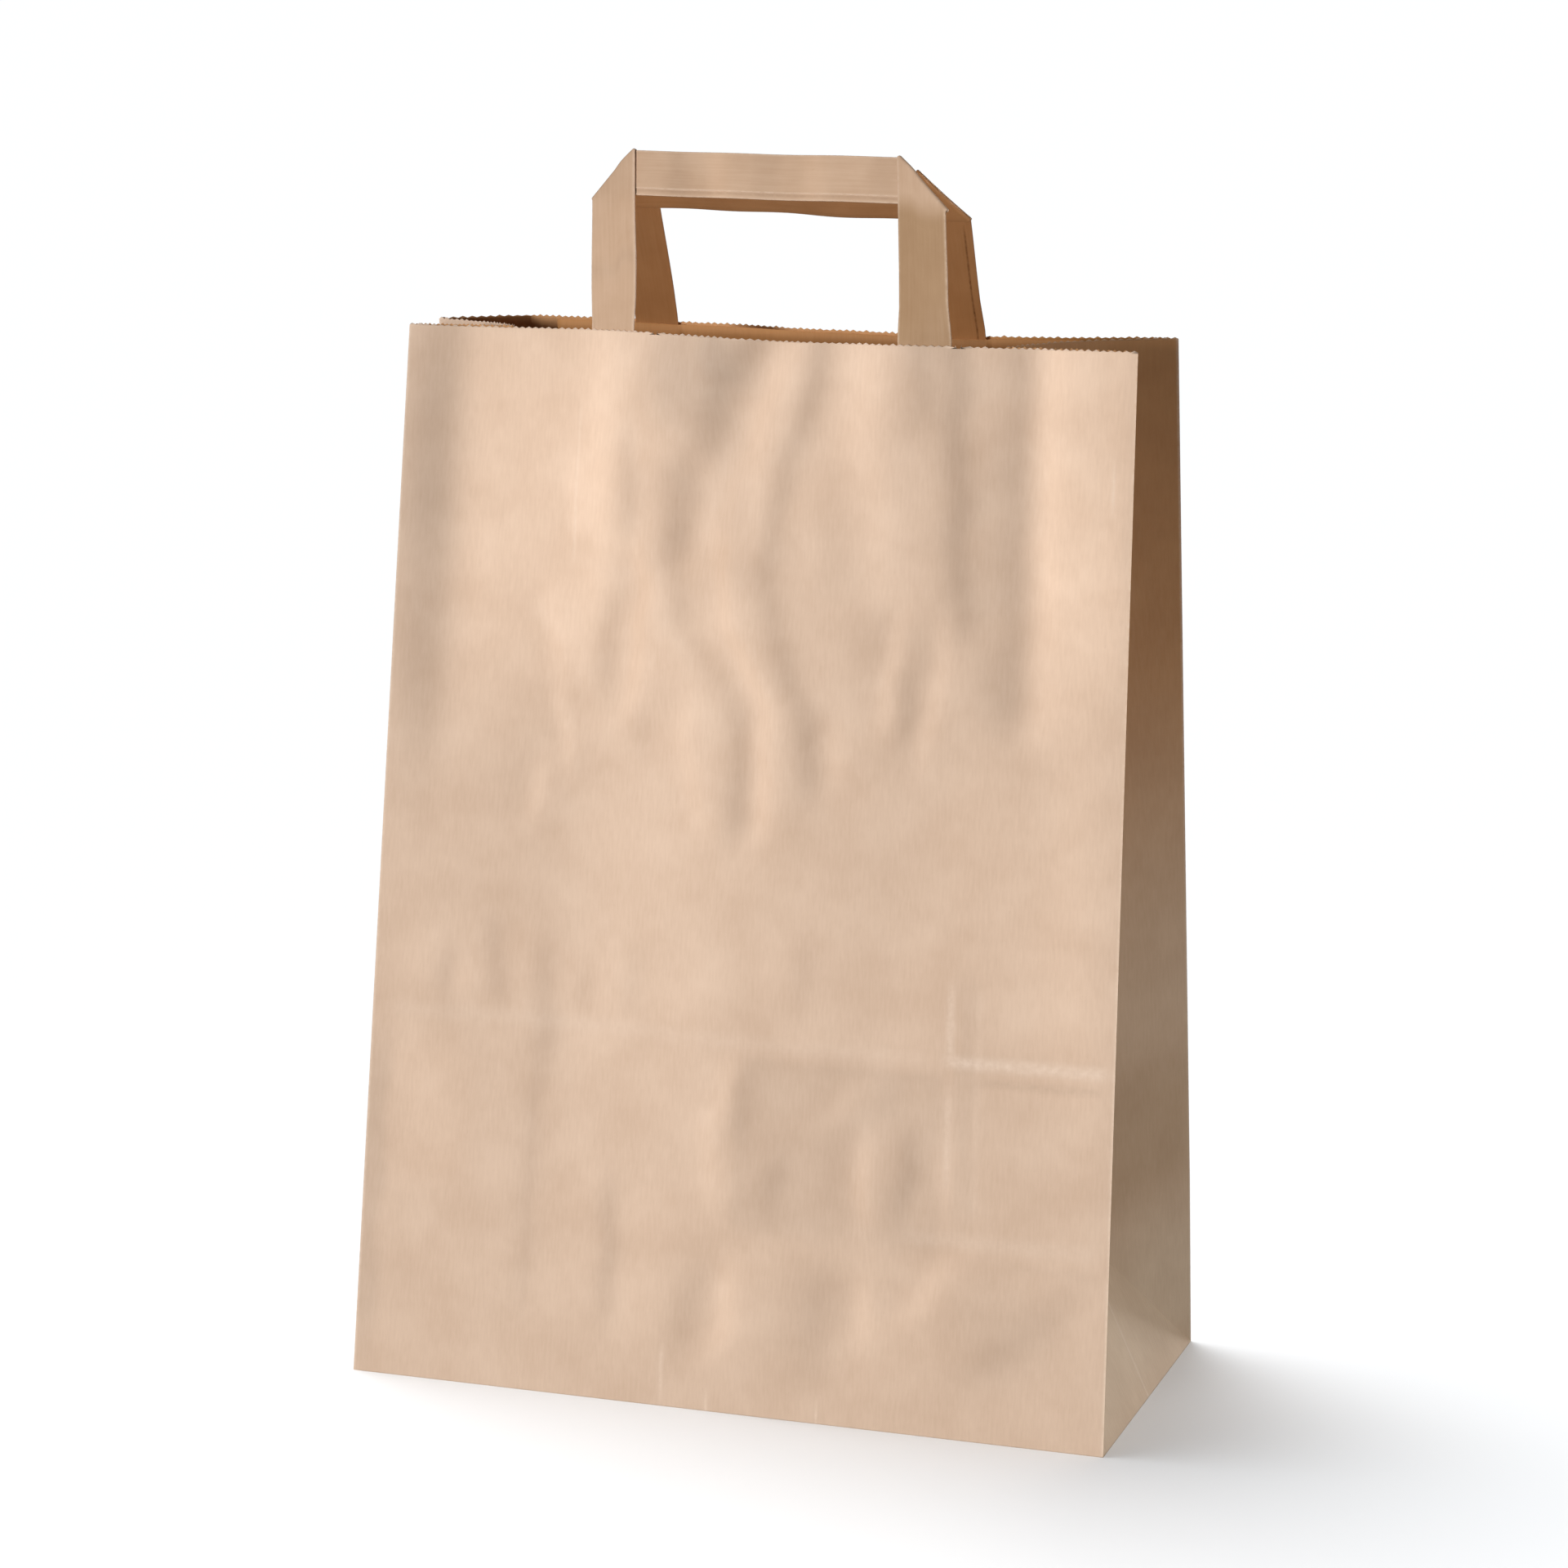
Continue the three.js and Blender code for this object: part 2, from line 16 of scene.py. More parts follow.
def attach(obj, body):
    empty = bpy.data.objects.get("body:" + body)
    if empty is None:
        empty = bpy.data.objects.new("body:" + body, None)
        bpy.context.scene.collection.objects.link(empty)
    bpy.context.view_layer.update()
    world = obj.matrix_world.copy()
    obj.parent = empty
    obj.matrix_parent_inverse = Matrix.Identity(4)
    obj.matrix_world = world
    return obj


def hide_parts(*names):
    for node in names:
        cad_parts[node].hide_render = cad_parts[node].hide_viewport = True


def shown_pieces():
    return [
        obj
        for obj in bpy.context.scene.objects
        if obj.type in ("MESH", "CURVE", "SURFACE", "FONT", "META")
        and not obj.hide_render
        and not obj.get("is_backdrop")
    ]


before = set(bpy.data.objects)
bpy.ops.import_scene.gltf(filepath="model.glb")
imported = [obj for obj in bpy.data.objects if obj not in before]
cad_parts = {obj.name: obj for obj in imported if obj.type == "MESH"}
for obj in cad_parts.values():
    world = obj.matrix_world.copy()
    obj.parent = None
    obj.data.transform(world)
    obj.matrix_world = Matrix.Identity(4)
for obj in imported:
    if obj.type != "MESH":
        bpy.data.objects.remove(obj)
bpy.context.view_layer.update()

MM = 0.001
print("nodes in the frame:", ", ".join(sorted(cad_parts)))

# %% [markdown]
# ## The camera
#
# The camera stands to the right of the bag's front and looks a little down, through a long lens, so
# the upright edges stay almost parallel. It could be aimed with a Track To constraint. Here its three
# axes come from an azimuth and an elevation, because those are the two angles that were measured.

# %% Studio camera
IMAGE_SIDE = 1920
FOCAL_PIXELS = 5050.7
SENSOR_WIDTH = 36.0
CAMERA_PLACE = Vector((435.4, -1266.8, 461.3)) * MM
CAMERA_AZIMUTH = math.radians(18.858)
CAMERA_ELEVATION = math.radians(11.118)


def camera_turn(azimuth, elevation):
    """Rotation whose axes are the camera's right, up and back."""
    right = Vector((math.cos(azimuth), math.sin(azimuth), 0))
    flat = Vector((math.sin(azimuth), -math.cos(azimuth), 0))
    back = flat * math.cos(elevation) + Vector((0, 0, math.sin(elevation)))
    return Matrix((right, back.cross(right), back)).transposed()


lens = bpy.data.cameras.new("studio_camera")
lens.sensor_width = SENSOR_WIDTH
lens.lens = FOCAL_PIXELS / IMAGE_SIDE * SENSOR_WIDTH
camera = bpy.data.objects.new("studio_camera", lens)
turn = camera_turn(CAMERA_AZIMUTH, CAMERA_ELEVATION)
camera.matrix_world = Matrix.Translation(CAMERA_PLACE) @ turn.to_4x4()
bpy.context.scene.collection.objects.link(camera)
bpy.context.scene.camera = camera
print(f"camera lens {lens.lens:.1f} mm")

# %% [markdown]
# ## The mouth of the standing bag
#
# The bag's floor is a stiff rectangle, but its mouth is soft paper that has been pulled open by hand.
# The front rim steps forward towards the right, and the back rim has a kink near its left edge and a
# dip before its right one. Each rim is a short formula from left (s = 0) to right (s = 1).

# %% Sizes of the sheet and curves of the rim
BAG_WIDTH = 260.0
BAG_DEPTH = 120.0
RIM_HEIGHT = 347.6
PAPER = 0.13
RIM_WIDTH = 254.5
RIM_LEFT = 1 - RIM_WIDTH / 2
FRONT_RIM = (-7.0, -31.0)
FRONT_BEND = (58.0, 90.0)
BACK_RIM = (17.5, 39.0, 8.0, 22.0)
BACK_KINK = 24.0
BACK_DIP = RIM_WIDTH - 58.0
HALF_DEPTH = BAG_DEPTH / 2
CREASE_T = HALF_DEPTH / RIM_HEIGHT
BACK_BULGE = 1.5


def smooth(k):
    k = np.clip(k, 0, 1)
    return k * k * (3 - 2 * k)


def mix(a, b, k):
    return a + (b - a) * k


def front_rim_y(s):
    start, width = FRONT_BEND
    return mix(*FRONT_RIM, smooth((s * RIM_WIDTH - start) / width))


def back_rim_y(s):
    left, bow, dip, right = BACK_RIM
    along = s * RIM_WIDTH
    near_left = mix(left, bow, along / BACK_KINK)
    middle = mix(bow, dip, smooth((along - BACK_KINK) / (BACK_DIP - BACK_KINK)))
    near_right = mix(dip, right, smooth((along - BACK_DIP) / (RIM_WIDTH - BACK_DIP)))
    return np.where(along < BACK_KINK, near_left, np.where(along < BACK_DIP, middle, near_right))


def points(x, y, z):
    return np.stack(np.broadcast_arrays(x, y, z), axis=-1).astype(float)


def front_sheet(s, t):
    x = mix((s - 0.5) * BAG_WIDTH, RIM_LEFT + s * RIM_WIDTH, t)
    return points(x, mix(-HALF_DEPTH, front_rim_y(s), t), t * RIM_HEIGHT)


def back_sheet(s, t):
    x = mix((s - 0.5) * BAG_WIDTH, RIM_LEFT + s * RIM_WIDTH, t)
    bulge = BACK_BULGE * np.where(t < CREASE_T, t / CREASE_T, (1 - t) / (1 - CREASE_T))
    return points(x, mix(HALF_DEPTH, back_rim_y(s), t) + bulge, t * RIM_HEIGHT)


print("mouth from", front_rim_y(0.5), "to", back_rim_y(0.5), "mm at its middle")

# %% [markdown]
# ## Creases in the front
#
# Handling leaves soft creases in kraft paper. A sculpted or simulated crumple would fall anywhere, so
# each crease is drawn as a line up the panel instead. On one side of the line the paper stands a
# little proud of the other: a positive step rises to the right and catches the light from the left, a
# negative one turns away from it. Two small waves keep the line from looking ruled. Far from its line
# the step fades out, and so it does at the line's ends, unless the line runs out over the rim.

# %% Crease lines
# Each crease: height of its step, half width, then points (x from the panel's middle, height), in mm.
FRONT_CREASES = [
    (-6.5, 7, [(2, 356), (-8, 333), (-16, 318), (-22, 305), (-26, 292), (-27, 270)]),
    (-3.0, 9, [(-22, 356), (-26, 330), (-30, 300), (-31, 284)]),
    (-2.2, 4, [(-27, 300), (-26, 268), (-23, 257), (-8, 242), (1, 222), (2, 210), (-3, 180)]),
    (1.8, 5, [(17, 356), (6, 330), (-7, 304), (-10, 290), (-10, 266)]),
    (2.5, 3.5, [(-10, 292), (-8, 266), (-4, 256), (7, 236), (10, 226), (8, 182)]),
    (-1.9, 4, [(27, 350), (17, 320), (9, 295), (8, 268), (12, 256), (22, 232), (29, 195)]),
    (0.9, 4, [(28, 322), (22, 302), (22, 262)]),
    (3.2, 8, [(40, 356), (40, 322), (47, 285), (48, 258)]),
    (0.9, 3, [(36, 236), (32, 202)]),
    (-2.2, 5, [(60, 356), (60, 316)]),
    (-3.2, 5, [(71, 356), (72, 320), (74, 280), (75, 250)]),
    (-2.1, 6, [(92, 356), (91, 300), (92, 250), (90, 218)]),
    (2.2, 6, [(101, 356), (102, 260), (101, 218)]),
    (1.6, 3, [(60, 274), (55, 258), (51, 244), (50, 218)]),
    (1.3, 3, [(75, 274), (69, 252), (62, 208)]),
    (-1.1, 3, [(57, 256), (58, 240), (57, 216)]),
    (-2.5, 4, [(-46, 326), (-45, 300), (-43, 272)]),
    (-2.2, 4, [(-51, 274), (-51, 224)]),
    (2.5, 4, [(-42, 290), (-38, 265), (-44, 216)]),
    (1.6, 4, [(-19, 242), (-20, 214), (-8, 182)]),
    (-0.9, 3, [(-37, 236), (-37, 204)]),
    (0.7, 2, [(-66, 312), (-66, 274)]),
    (1.1, 3, [(-74, 274), (-69, 228)]),
    (1.1, 2, [(-70, 242), (-66, 220), (-63, 196)]),
    (1.4, 3, [(-72, 220), (-76, 180)]),
    (-1.6, 4, [(-92, 164), (-87, 148), (-81, 118)]),
    (-1.5, 4, [(-70, 156), (-68, 138), (-67, 102)]),
    (-1.1, 3, [(-104, 154), (-102, 116)]),
    (0.9, 3, [(-99, 146), (-98, 120)]),
    (-1.1, 3, [(-53, 150), (-53, 120)]),
    (-1.1, 4, [(-36, 156), (-35, 120)]),
    (-0.9, 4, [(25, 168), (25, 126)]),
    (1.4, 4, [(5, 126), (-2, 106), (-6, 94), (-5, 58)]),
    (-1.1, 4, [(8, 124), (5, 106), (6, 80)]),
    (-1.3, 4, [(17, 98), (17, 60)]),
    (1.1, 4, [(52, 120), (37, 104), (31, 90)]),
    (1.8, 3, [(48, 104), (48, 82), (47, 58)]),
    (-1.3, 4, [(58, 122), (55, 96)]),
    (-1.6, 3.5, [(64, 108), (62, 84), (61, 62)]),
    (2.2, 4, [(4, 58), (1, 32), (-2, 10)]),
    (-1.0, 5, [(-6, 54), (-12, 32), (-17, 14), (-14, 0)]),
    (-1.8, 7, [(34, 60), (33, 30), (30, 0)]),
    (1.3, 3, [(49, 58), (48, 20)]),
    (1.6, 5, [(84, 70), (73, 50), (54, 26)]),
    (-1.3, 3, [(-40, 82), (-41, 50), (-40, 18)]),
    (-0.6, 3, [(-66, 118), (-70, 90), (-71, 18)]),
    (-1.4, 8, [(124, 64), (108, 40), (76, 10)]),
]


WAVER_SIZES = (0.9, 0.6)
WAVER_LENGTHS = (5.5, 2.9)
END_FADE = 18
RIM_REACH = 340
STEP_SPREAD = 4


def crease_step(x, v, height, width, line):
    """Relief of one crease line at panel points (x, v)."""
    place = np.array(line[::-1], float)
    foot, top = place[0, 1], place[-1, 1]
    waves = zip(WAVER_SIZES, WAVER_LENGTHS, (height, width))
    waver = sum(size * np.sin(v / length + phase) for size, length, phase in waves)
    d = x - np.interp(v, place[:, 1], place[:, 0]) - waver
    fade = smooth((v - foot) / END_FADE) * smooth((top - v) / END_FADE + (top > RIM_REACH))
    return height / 2 * np.tanh(d / width) * np.exp(-((d / (STEP_SPREAD * width)) ** 2)) * fade


print(len(FRONT_CREASES), "creases in the front")

# %% [markdown]
# Between the creases the sheet is never quite flat. A few long sine waves of different directions add
# up to an irregular swell. Random numbers pick them, from a fixed seed, so every run gives the same
# paper.

# %% Gentle swell of the paper
SWELL_WAVES = 14
SWELL_LENGTHS = (26.0, 95.0)
SWELL_TURN = 0.45
SWELL_UPRIGHT = 0.4
SWELL_HEIGHT = 2.2
FRONT_SEED = 3
BACK_SEED = 8


def paper_swell(seed):
    """Function of (x, v) that gives a gentle uneven relief of about one millimetre."""
    draw = np.random.default_rng(seed)
    length = draw.uniform(*SWELL_LENGTHS, SWELL_WAVES)
    angle = draw.normal(0, SWELL_TURN, SWELL_WAVES)
    phase = draw.uniform(0, 2 * math.pi, SWELL_WAVES)
    share = length / length.sum()

    def swell(x, v):
        across = np.multiply.outer(x, np.cos(angle))
        along = across + SWELL_UPRIGHT * np.multiply.outer(v, np.sin(angle))
        return (np.sin(2 * math.pi * along / length + phase) * share).sum(axis=-1) * SWELL_HEIGHT

    return swell


front_swell = paper_swell(FRONT_SEED)
back_swell = paper_swell(BACK_SEED)
print("front swell at the middle", round(float(front_swell(0.0, 170.0)), 2), "mm")

# %% [markdown]
# Stiff folds hold the paper flat, so the relief dies out beside them. Near the left edge of the front
# the upper part of the panel sinks in a little, which is one long, soft hollow and not a crease.

# %% Relief of both panels
SIDE_FADE = 14
FLOOR_FADE = 30
FRONT_SWELL = 0.4
BACK_SWELL = 0.7
LEFT_HOLLOW = 2.5
# Where the hollow begins, and the distance to its full depth, from the left, the right and below.
HOLLOW_LEFT = (-130, 20)
HOLLOW_RIGHT = (-45, 65)
HOLLOW_FOOT = (165, 100)


def edge_fade(x, v):
    """Relief dies out at the stiff folds: the panel's two sides and the floor."""
    return smooth((BAG_WIDTH / 2 - np.abs(x)) / SIDE_FADE) * smooth(v / FLOOR_FADE)


def left_hollow(x, v):
    left, left_ease = HOLLOW_LEFT
    right, right_ease = HOLLOW_RIGHT
    foot, foot_ease = HOLLOW_FOOT
    across = smooth((x - left) / left_ease) * smooth((right - x) / right_ease)
    return LEFT_HOLLOW * (across * smooth((v - foot) / foot_ease))


def front_relief(x, v):
    creases = sum(crease_step(x, v, *crease) for crease in FRONT_CREASES)
    return (creases + FRONT_SWELL * front_swell(x, v)) * edge_fade(x, v) - left_hollow(x, v)


def back_relief(x, v):
    return BACK_SWELL * back_swell(x, v) * edge_fade(x, v)


print("front relief at the middle", round(float(front_relief(0.0, 170.0)), 2), "mm")

# %% [markdown]
# ## Panels with their relief
#
# The relief has to stand on the leaning panel, so it is added along the panel's own normal. The same
# function also places what is glued to a panel: a lift below zero is on the inside of the paper.

# %% Panel points
PANEL_LENGTH = 350.0


def panel_point(side, s, t, lift=0.0):
    """Point of the front (1) or back (-1) panel, lifted outwards."""
    sheet, relief = (front_sheet, front_relief) if side > 0 else (back_sheet, back_relief)
    step = 1e-3
    across = sheet(s + step, t) - sheet(s - step, t)
    up = sheet(s, t + step) - sheet(s, t - step)
    outward = np.cross(across, up) * side
    outward /= np.linalg.norm(outward, axis=-1, keepdims=True)
    x = (s - 0.5) * BAG_WIDTH
    height = relief(x, np.minimum(t, 1) * PANEL_LENGTH) + lift
    return sheet(s, t) + outward * np.asarray(height)[..., None]


print("front panel at its middle:", panel_point(1, np.array(0.5), np.array(0.5)).round(1), "mm")

# %% [markdown]
# ## One sheet all the way round
#
# The real body is one strip of paper: a glued lap, a gusset, the front, a gusset and the back. So the
# mesh is one strip too, built row by row from the floor to the mouth. Five separate planes would be
# quicker, but their edges would never share points, and light would leak through the folds. Below the
# bottom crease a gusset opens into the triangle that lies towards the floor. Above it the gusset is
# two halves with a fold between them.

# %% Rows round the tube
TOOTH_PITCH = 2.4
TOOTH_DEPTH = 0.7
TOOTH_WEAR = 0.4
LAP = 18.0
LAP_LIFT = 0.3
APEX_TUCK = 25.0
RIM_TUCK = {-1: 36.0, 1: 43.0}
RIM_FOLD_CLEARANCE = 3.0
GUSSET_BOW = 7.0
BOW_FROM = 0.3
BOW_LEAN = {-1: -0.15, 1: 0.5}
GUSSET_CLEARANCE = 1.5
CLEARANCE_RISE = 12
FLOOR_STEP = 4
LAP_POINTS = 8
SEAM_GAP = 0.002
panel_s = np.linspace(0, 1, round(RIM_WIDTH / TOOTH_PITCH) + 1)
half_k = np.linspace(0, 1, round(HALF_DEPTH / TOOTH_PITCH) + 1)[:, None]
floor_k = np.linspace(0, 1, round(BAG_DEPTH / FLOOR_STEP) + 1)[:, None]
lap_u = np.linspace(0, LAP, LAP_POINTS)


def behind_front(place, k, t):
    """Gusset points moved back where the creased front panel would reach them."""
    left = mix(-BAG_WIDTH / 2, RIM_LEFT, t)
    s = (place[..., 0] - left) / mix(BAG_WIDTH, RIM_WIDTH, t)
    panel_y = panel_point(1, s, np.full_like(s, t))[..., 1]
    clearance = GUSSET_CLEARANCE * np.minimum(k * CLEARANCE_RISE, 1)
    moved = place.copy()
    moved[..., 1] = np.maximum(place[..., 1], panel_y + clearance)
    return moved


def gusset_row(side, t):
    """One row of a gusset from front edge to back edge: side -1 is the left one, 1 the right."""
    s = np.array(0.5 + side / 2)
    front_edge = panel_point(1, s, np.array(t))
    back_edge = panel_point(-1, s, np.array(t), LAP_LIFT if side < 0 else 0.0)
    apex = points(side * (BAG_WIDTH / 2 - APEX_TUCK), 0, math.sqrt(HALF_DEPTH**2 - APEX_TUCK**2))
    if t < CREASE_T:
        k = t / CREASE_T
        near = mix(panel_point(1, s, np.array(0.0)), apex, k)
        far = mix(panel_point(-1, s, np.array(0.0)), apex, k)
        front_half = mix(front_edge, near, half_k)
        bow = 0
    else:
        k = (t - CREASE_T) / (1 - CREASE_T)
        rim_fold = front_sheet(s - side * RIM_TUCK[side] / RIM_WIDTH, np.array(1.0))
        fold = mix(apex, rim_fold + points(0, RIM_FOLD_CLEARANCE, 0), k)
        near = far = behind_front(fold, np.array(1.0), t)
        front_half = behind_front(mix(front_edge, near, half_k), half_k[:, 0], t)
        bow = GUSSET_BOW * smooth((k - BOW_FROM) / (1 - BOW_FROM))
    inward = np.sin(math.pi * half_k) * points(-side, BOW_LEAN[side], 0)
    back_half = mix(far, back_edge, half_k) + bow * inward
    u = half_k[:, 0] * HALF_DEPTH * min(1, t / CREASE_T)
    middle = np.linspace(u[-1], BAG_DEPTH - u[-1], len(floor_k))
    flat = np.concatenate([u, middle[1:], BAG_DEPTH - u[::-1][1:]])
    return np.concatenate([front_half, mix(near, far, floor_k)[1:], back_half[1:]]), flat


print("a gusset's row has", len(gusset_row(1, 0.5)[1]), "points")

# %% [markdown]
# A whole row joins the lap, a gusset, the front, a gusset and the back. Each point keeps its place on
# the flat sheet as well, in millimetres, because the finishes are drawn there. A narrow row at each
# end keeps the shading of the cut edges off the panels.

# %% Whole rows


def wall_row(t):
    """Points and flat places of one row: lap, left gusset, front, right gusset, back."""
    level = np.array(t)
    lap = panel_point(-1, (LAP - lap_u) / BAG_WIDTH, level, LAP_LIFT)
    left, left_flat = gusset_row(-1, t)
    right, right_flat = gusset_row(1, t)
    front = panel_point(1, panel_s, level)
    back = panel_point(-1, panel_s[::-1] * (1 - SEAM_GAP) + SEAM_GAP, level)
    places = [lap, left[::-1][1:], front[1:], right[1:], back[1:]]
    start = np.cumsum([0, LAP, BAG_DEPTH, BAG_WIDTH, BAG_DEPTH])
    flat_panel = panel_s * BAG_WIDTH
    flats = [lap_u, BAG_DEPTH - left_flat[::-1][1:], flat_panel[1:], right_flat[1:], flat_panel[1:]]
    return np.concatenate(places), np.concatenate([f + b for f, b in zip(flats, start)])


ROW_STEP = 3.4
EDGE_ROW = 0.4
root_t = 1 - TOOTH_DEPTH / RIM_HEIGHT
edge_t = EDGE_ROW / RIM_HEIGHT
low_rows = np.linspace(0, CREASE_T, round(HALF_DEPTH / ROW_STEP) + 1)
high_rows = np.linspace(CREASE_T, root_t, round((RIM_HEIGHT - HALF_DEPTH) / ROW_STEP) + 1)
wall_t = np.concatenate([[0, edge_t], low_rows[1:], high_rows[1:-1], [root_t - edge_t, root_t]])
rows = [wall_row(t) for t in wall_t]
print(len(rows), "rows of", len(rows[0][0]), "points")

# %% [markdown]
# ## The cut edge
#
# Bag machines cut the tube with a serrated knife, which leaves a row of small teeth. An alpha texture
# could fake it, but the teeth show against the background, so each column of the sheet ends in a
# triangle. The tips are worn unevenly, and the front rim has two short tears: a tooth's root moves
# down and the points beside it are drawn in. Then points that fall together are merged, and the sheet
# gets its thickness from a Solidify modifier.

# %% Bag sheet mesh
FRONT_MIDDLE = LAP + BAG_DEPTH + BAG_WIDTH / 2
RIM_TEARS = [(-37.0, 3.2), (72.0, 1.8)]
TEAR_CLOSING = 0.6
TOOTH_SEED = 5
wall = np.array([row[0] for row in rows])
flat_u = np.array([row[1] for row in rows])
tip_line, tip_flat = wall_row(1.0)
tips = (tip_line[1:] + tip_line[:-1]) / 2
tips[:, 2] -= np.random.default_rng(TOOTH_SEED).uniform(0, TOOTH_WEAR, len(tips))
for at, depth in RIM_TEARS:
    column = np.abs(flat_u[-1] - FRONT_MIDDLE - at).argmin()
    for lip, tip in ((column - 1, column - 1), (column + 1, column)):
        wall[-1, lip] = mix(wall[-1, lip], wall[-1, column], TEAR_CLOSING)
        tips[tip] = wall[-1, lip] + (0, 0, TOOTH_DEPTH)
    wall[-1, column, 2] -= depth
count_rows, count_columns = wall.shape[:2]
flat_v = np.broadcast_to(wall_t[:, None] * PANEL_LENGTH, flat_u.shape)
all_points = np.concatenate([wall.reshape(-1, 3), tips])
tip_u = (tip_flat[1:] + tip_flat[:-1]) / 2
all_flat = np.stack([np.concatenate([flat_u.ravel(), tip_u]),
                     np.concatenate([flat_v.ravel(), np.full(len(tips), PANEL_LENGTH)])], axis=-1)

grid = np.arange(count_rows * count_columns).reshape(count_rows, count_columns)
quads = np.stack([grid[:-1, :-1], grid[:-1, 1:], grid[1:, 1:], grid[1:, :-1]], axis=-1).reshape(-1, 4)
teeth = np.stack([grid[-1, :-1], grid[-1, 1:], grid.size + np.arange(count_columns - 1)], axis=-1)


def merged_mesh(name, place, faces, flat):
    """Mesh in metres with coincident points merged, and each point's place on the flat sheet."""
    _, first, index = np.unique(place.round(3), axis=0, return_index=True, return_inverse=True)
    index = index.ravel()
    kept = []
    for face in faces:
        corners = list(dict.fromkeys(index[list(face)].tolist()))
        if len(corners) > 2:
            kept.append(corners)
    mesh = bpy.data.meshes.new(name)
    mesh.from_pydata((place[first] * MM).tolist(), [], kept)
    flat_place = mesh.attributes.new("flat_place", "FLOAT_VECTOR", "POINT")
    spread = np.zeros((len(first), 3), np.float32)
    spread[:, :2] = flat[first]
    flat_place.data.foreach_set("vector", spread.ravel())
    mesh.validate()
    return mesh


def place_piece(name, mesh, slot, *nodes):
    """Object that rides on the bag and stands for CAD nodes; the slot argument is not used."""
    mesh.shade_smooth()
    piece = bpy.data.objects.new(name, mesh)
    bpy.context.scene.collection.objects.link(piece)
    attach(piece, "root")
    if nodes:
        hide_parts(*nodes)
    print(name, len(mesh.vertices), "points,", len(mesh.polygons), "faces")
    return piece


def thicken_inwards(piece, thickness, side=-1):
    solid = piece.modifiers.new("paper", "SOLIDIFY")
    solid.thickness = thickness * MM
    solid.offset = side
    solid.use_rim = True
    return solid


FOLD_ANGLE = math.radians(32)
bag_mesh = merged_mesh("bag_sheet", all_points, [*quads.tolist(), *teeth.tolist()], all_flat)
bag_sheet = place_piece("bag_sheet", bag_mesh, "kraft", "bag_body")
bag_mesh.set_sharp_from_angle(angle=FOLD_ANGLE)
thicken_inwards(bag_sheet, PAPER)

# %% [markdown]
# ## The block bottom
#
# Underneath, the two end flaps are folded in first, then the front flap, and the back flap is glued
# over it. Each flap is a plain outline, so a polygon with a Solidify modifier is all it needs. On the
# flat sheet the flaps lie below the walls, clear of the folds and marks that are drawn there.

# %% Bottom flaps
BOTTOM_LAP = 20.0
FLAP_INSET = 0.3
FLAP_PLACE = (FRONT_MIDDLE, -200.0)
FLAP_THICKNESS = 0.9 * PAPER


def bottom_flaps():
    x = BAG_WIDTH / 2 - FLAP_INSET
    y = HALF_DEPTH - FLAP_INSET
    reach = HALF_DEPTH + BOTTOM_LAP / 2
    long_flap = np.array([(-x, -y), (x, -y), (x - reach, reach - y), (reach - x, reach - y)])
    end_flap = np.array([(x - reach, -y), (x, -y), (x, y), (x - reach, y)])
    layers = [(-long_flap, PAPER), (long_flap, 2 * PAPER),
              (end_flap, 3 * PAPER), (-end_flap, 3 * PAPER)]
    corners = [points(outline[:, 0], outline[:, 1], z) for outline, z in layers]
    flat = np.concatenate([outline + FLAP_PLACE for outline, _ in layers])
    faces = [list(range(4 * i, 4 * i + 4)) for i in range(len(layers))]
    return merged_mesh("bottom_flaps", np.concatenate(corners), faces, flat)


bag_floor = place_piece("bottom_flaps", bottom_flaps(), "kraft")
thicken_inwards(bag_floor, FLAP_THICKNESS)

# %% [markdown]
# ## Handles of folded tape
#
# Each handle is one strip of stiff paper tape, folded over twice at 45 degrees: up from the mouth,
# across, and down again. Bending a straight strip with a curve modifier would round the corners, so
# the strip is swept row by row, and the rows swing through half a turn at each fold. Below the rim
# the legs lie flat inside the panel. Above it they lean in until the two handles almost meet.

# %% Where a handle runs
TAPE_WIDTH = 17.0
TAPE_THICKNESS = 0.7
TAPE_SEAM = 2.5
HANDLE_SPAN = 130.0
HANDLE_RISE = 59.0
HANDLE_OFFSET = 3.5
FOLD_GAP = 0.6
GLUED_LEG = 45.0
GLUE_LINE = 0.3
LEG_BEND = 15.0
HANDLE_SWAY = {1: (-4.5, -5.5), -1: (-0.5, -0.5)}
HANDLE_DROP = {1: (0.0, 0.0), -1: (0.0, 2.2)}
STRIP_LIFT = {1: 0.13, -1: 0.0}
HANDLE_TOP_GAP = 5.0
HANDLE_TOP_SHIFT = -5.0
LEG_MIDDLE = (HANDLE_SPAN - TAPE_WIDTH) / 2
LEG_DEPTH = GLUE_LINE + TAPE_THICKNESS / 2


def along_rim(u):
    return (u + HANDLE_OFFSET - RIM_LEFT) / RIM_WIDTH


def inside_panel(side, u, v, w):
    """Point inside a panel: u along the rim from the handle's middle, v above the rim, w inwards."""
    return panel_point(side, along_rim(u), 1 + v / RIM_HEIGHT, -(PAPER + w))


def unit(vectors):
    return vectors / np.linalg.norm(vectors, axis=-1, keepdims=True)


def handle_feet_and_tops(side):
    u = np.array([-LEG_MIDDLE, LEG_MIDDLE])
    feet = inside_panel(side, u, np.zeros(2), LEG_DEPTH)
    mouth_middle = (front_rim_y(along_rim(u)) + back_rim_y(along_rim(u))) / 2
    top_y = mouth_middle + HANDLE_TOP_SHIFT - side * HANDLE_TOP_GAP / 2
    sway = np.array(HANDLE_SWAY[side])
    rise = np.sqrt(HANDLE_RISE**2 - (top_y - feet[:, 1]) ** 2 - sway**2) - HANDLE_DROP[side]
    return feet, points(feet[:, 0] + sway, top_y, feet[:, 2] + rise)


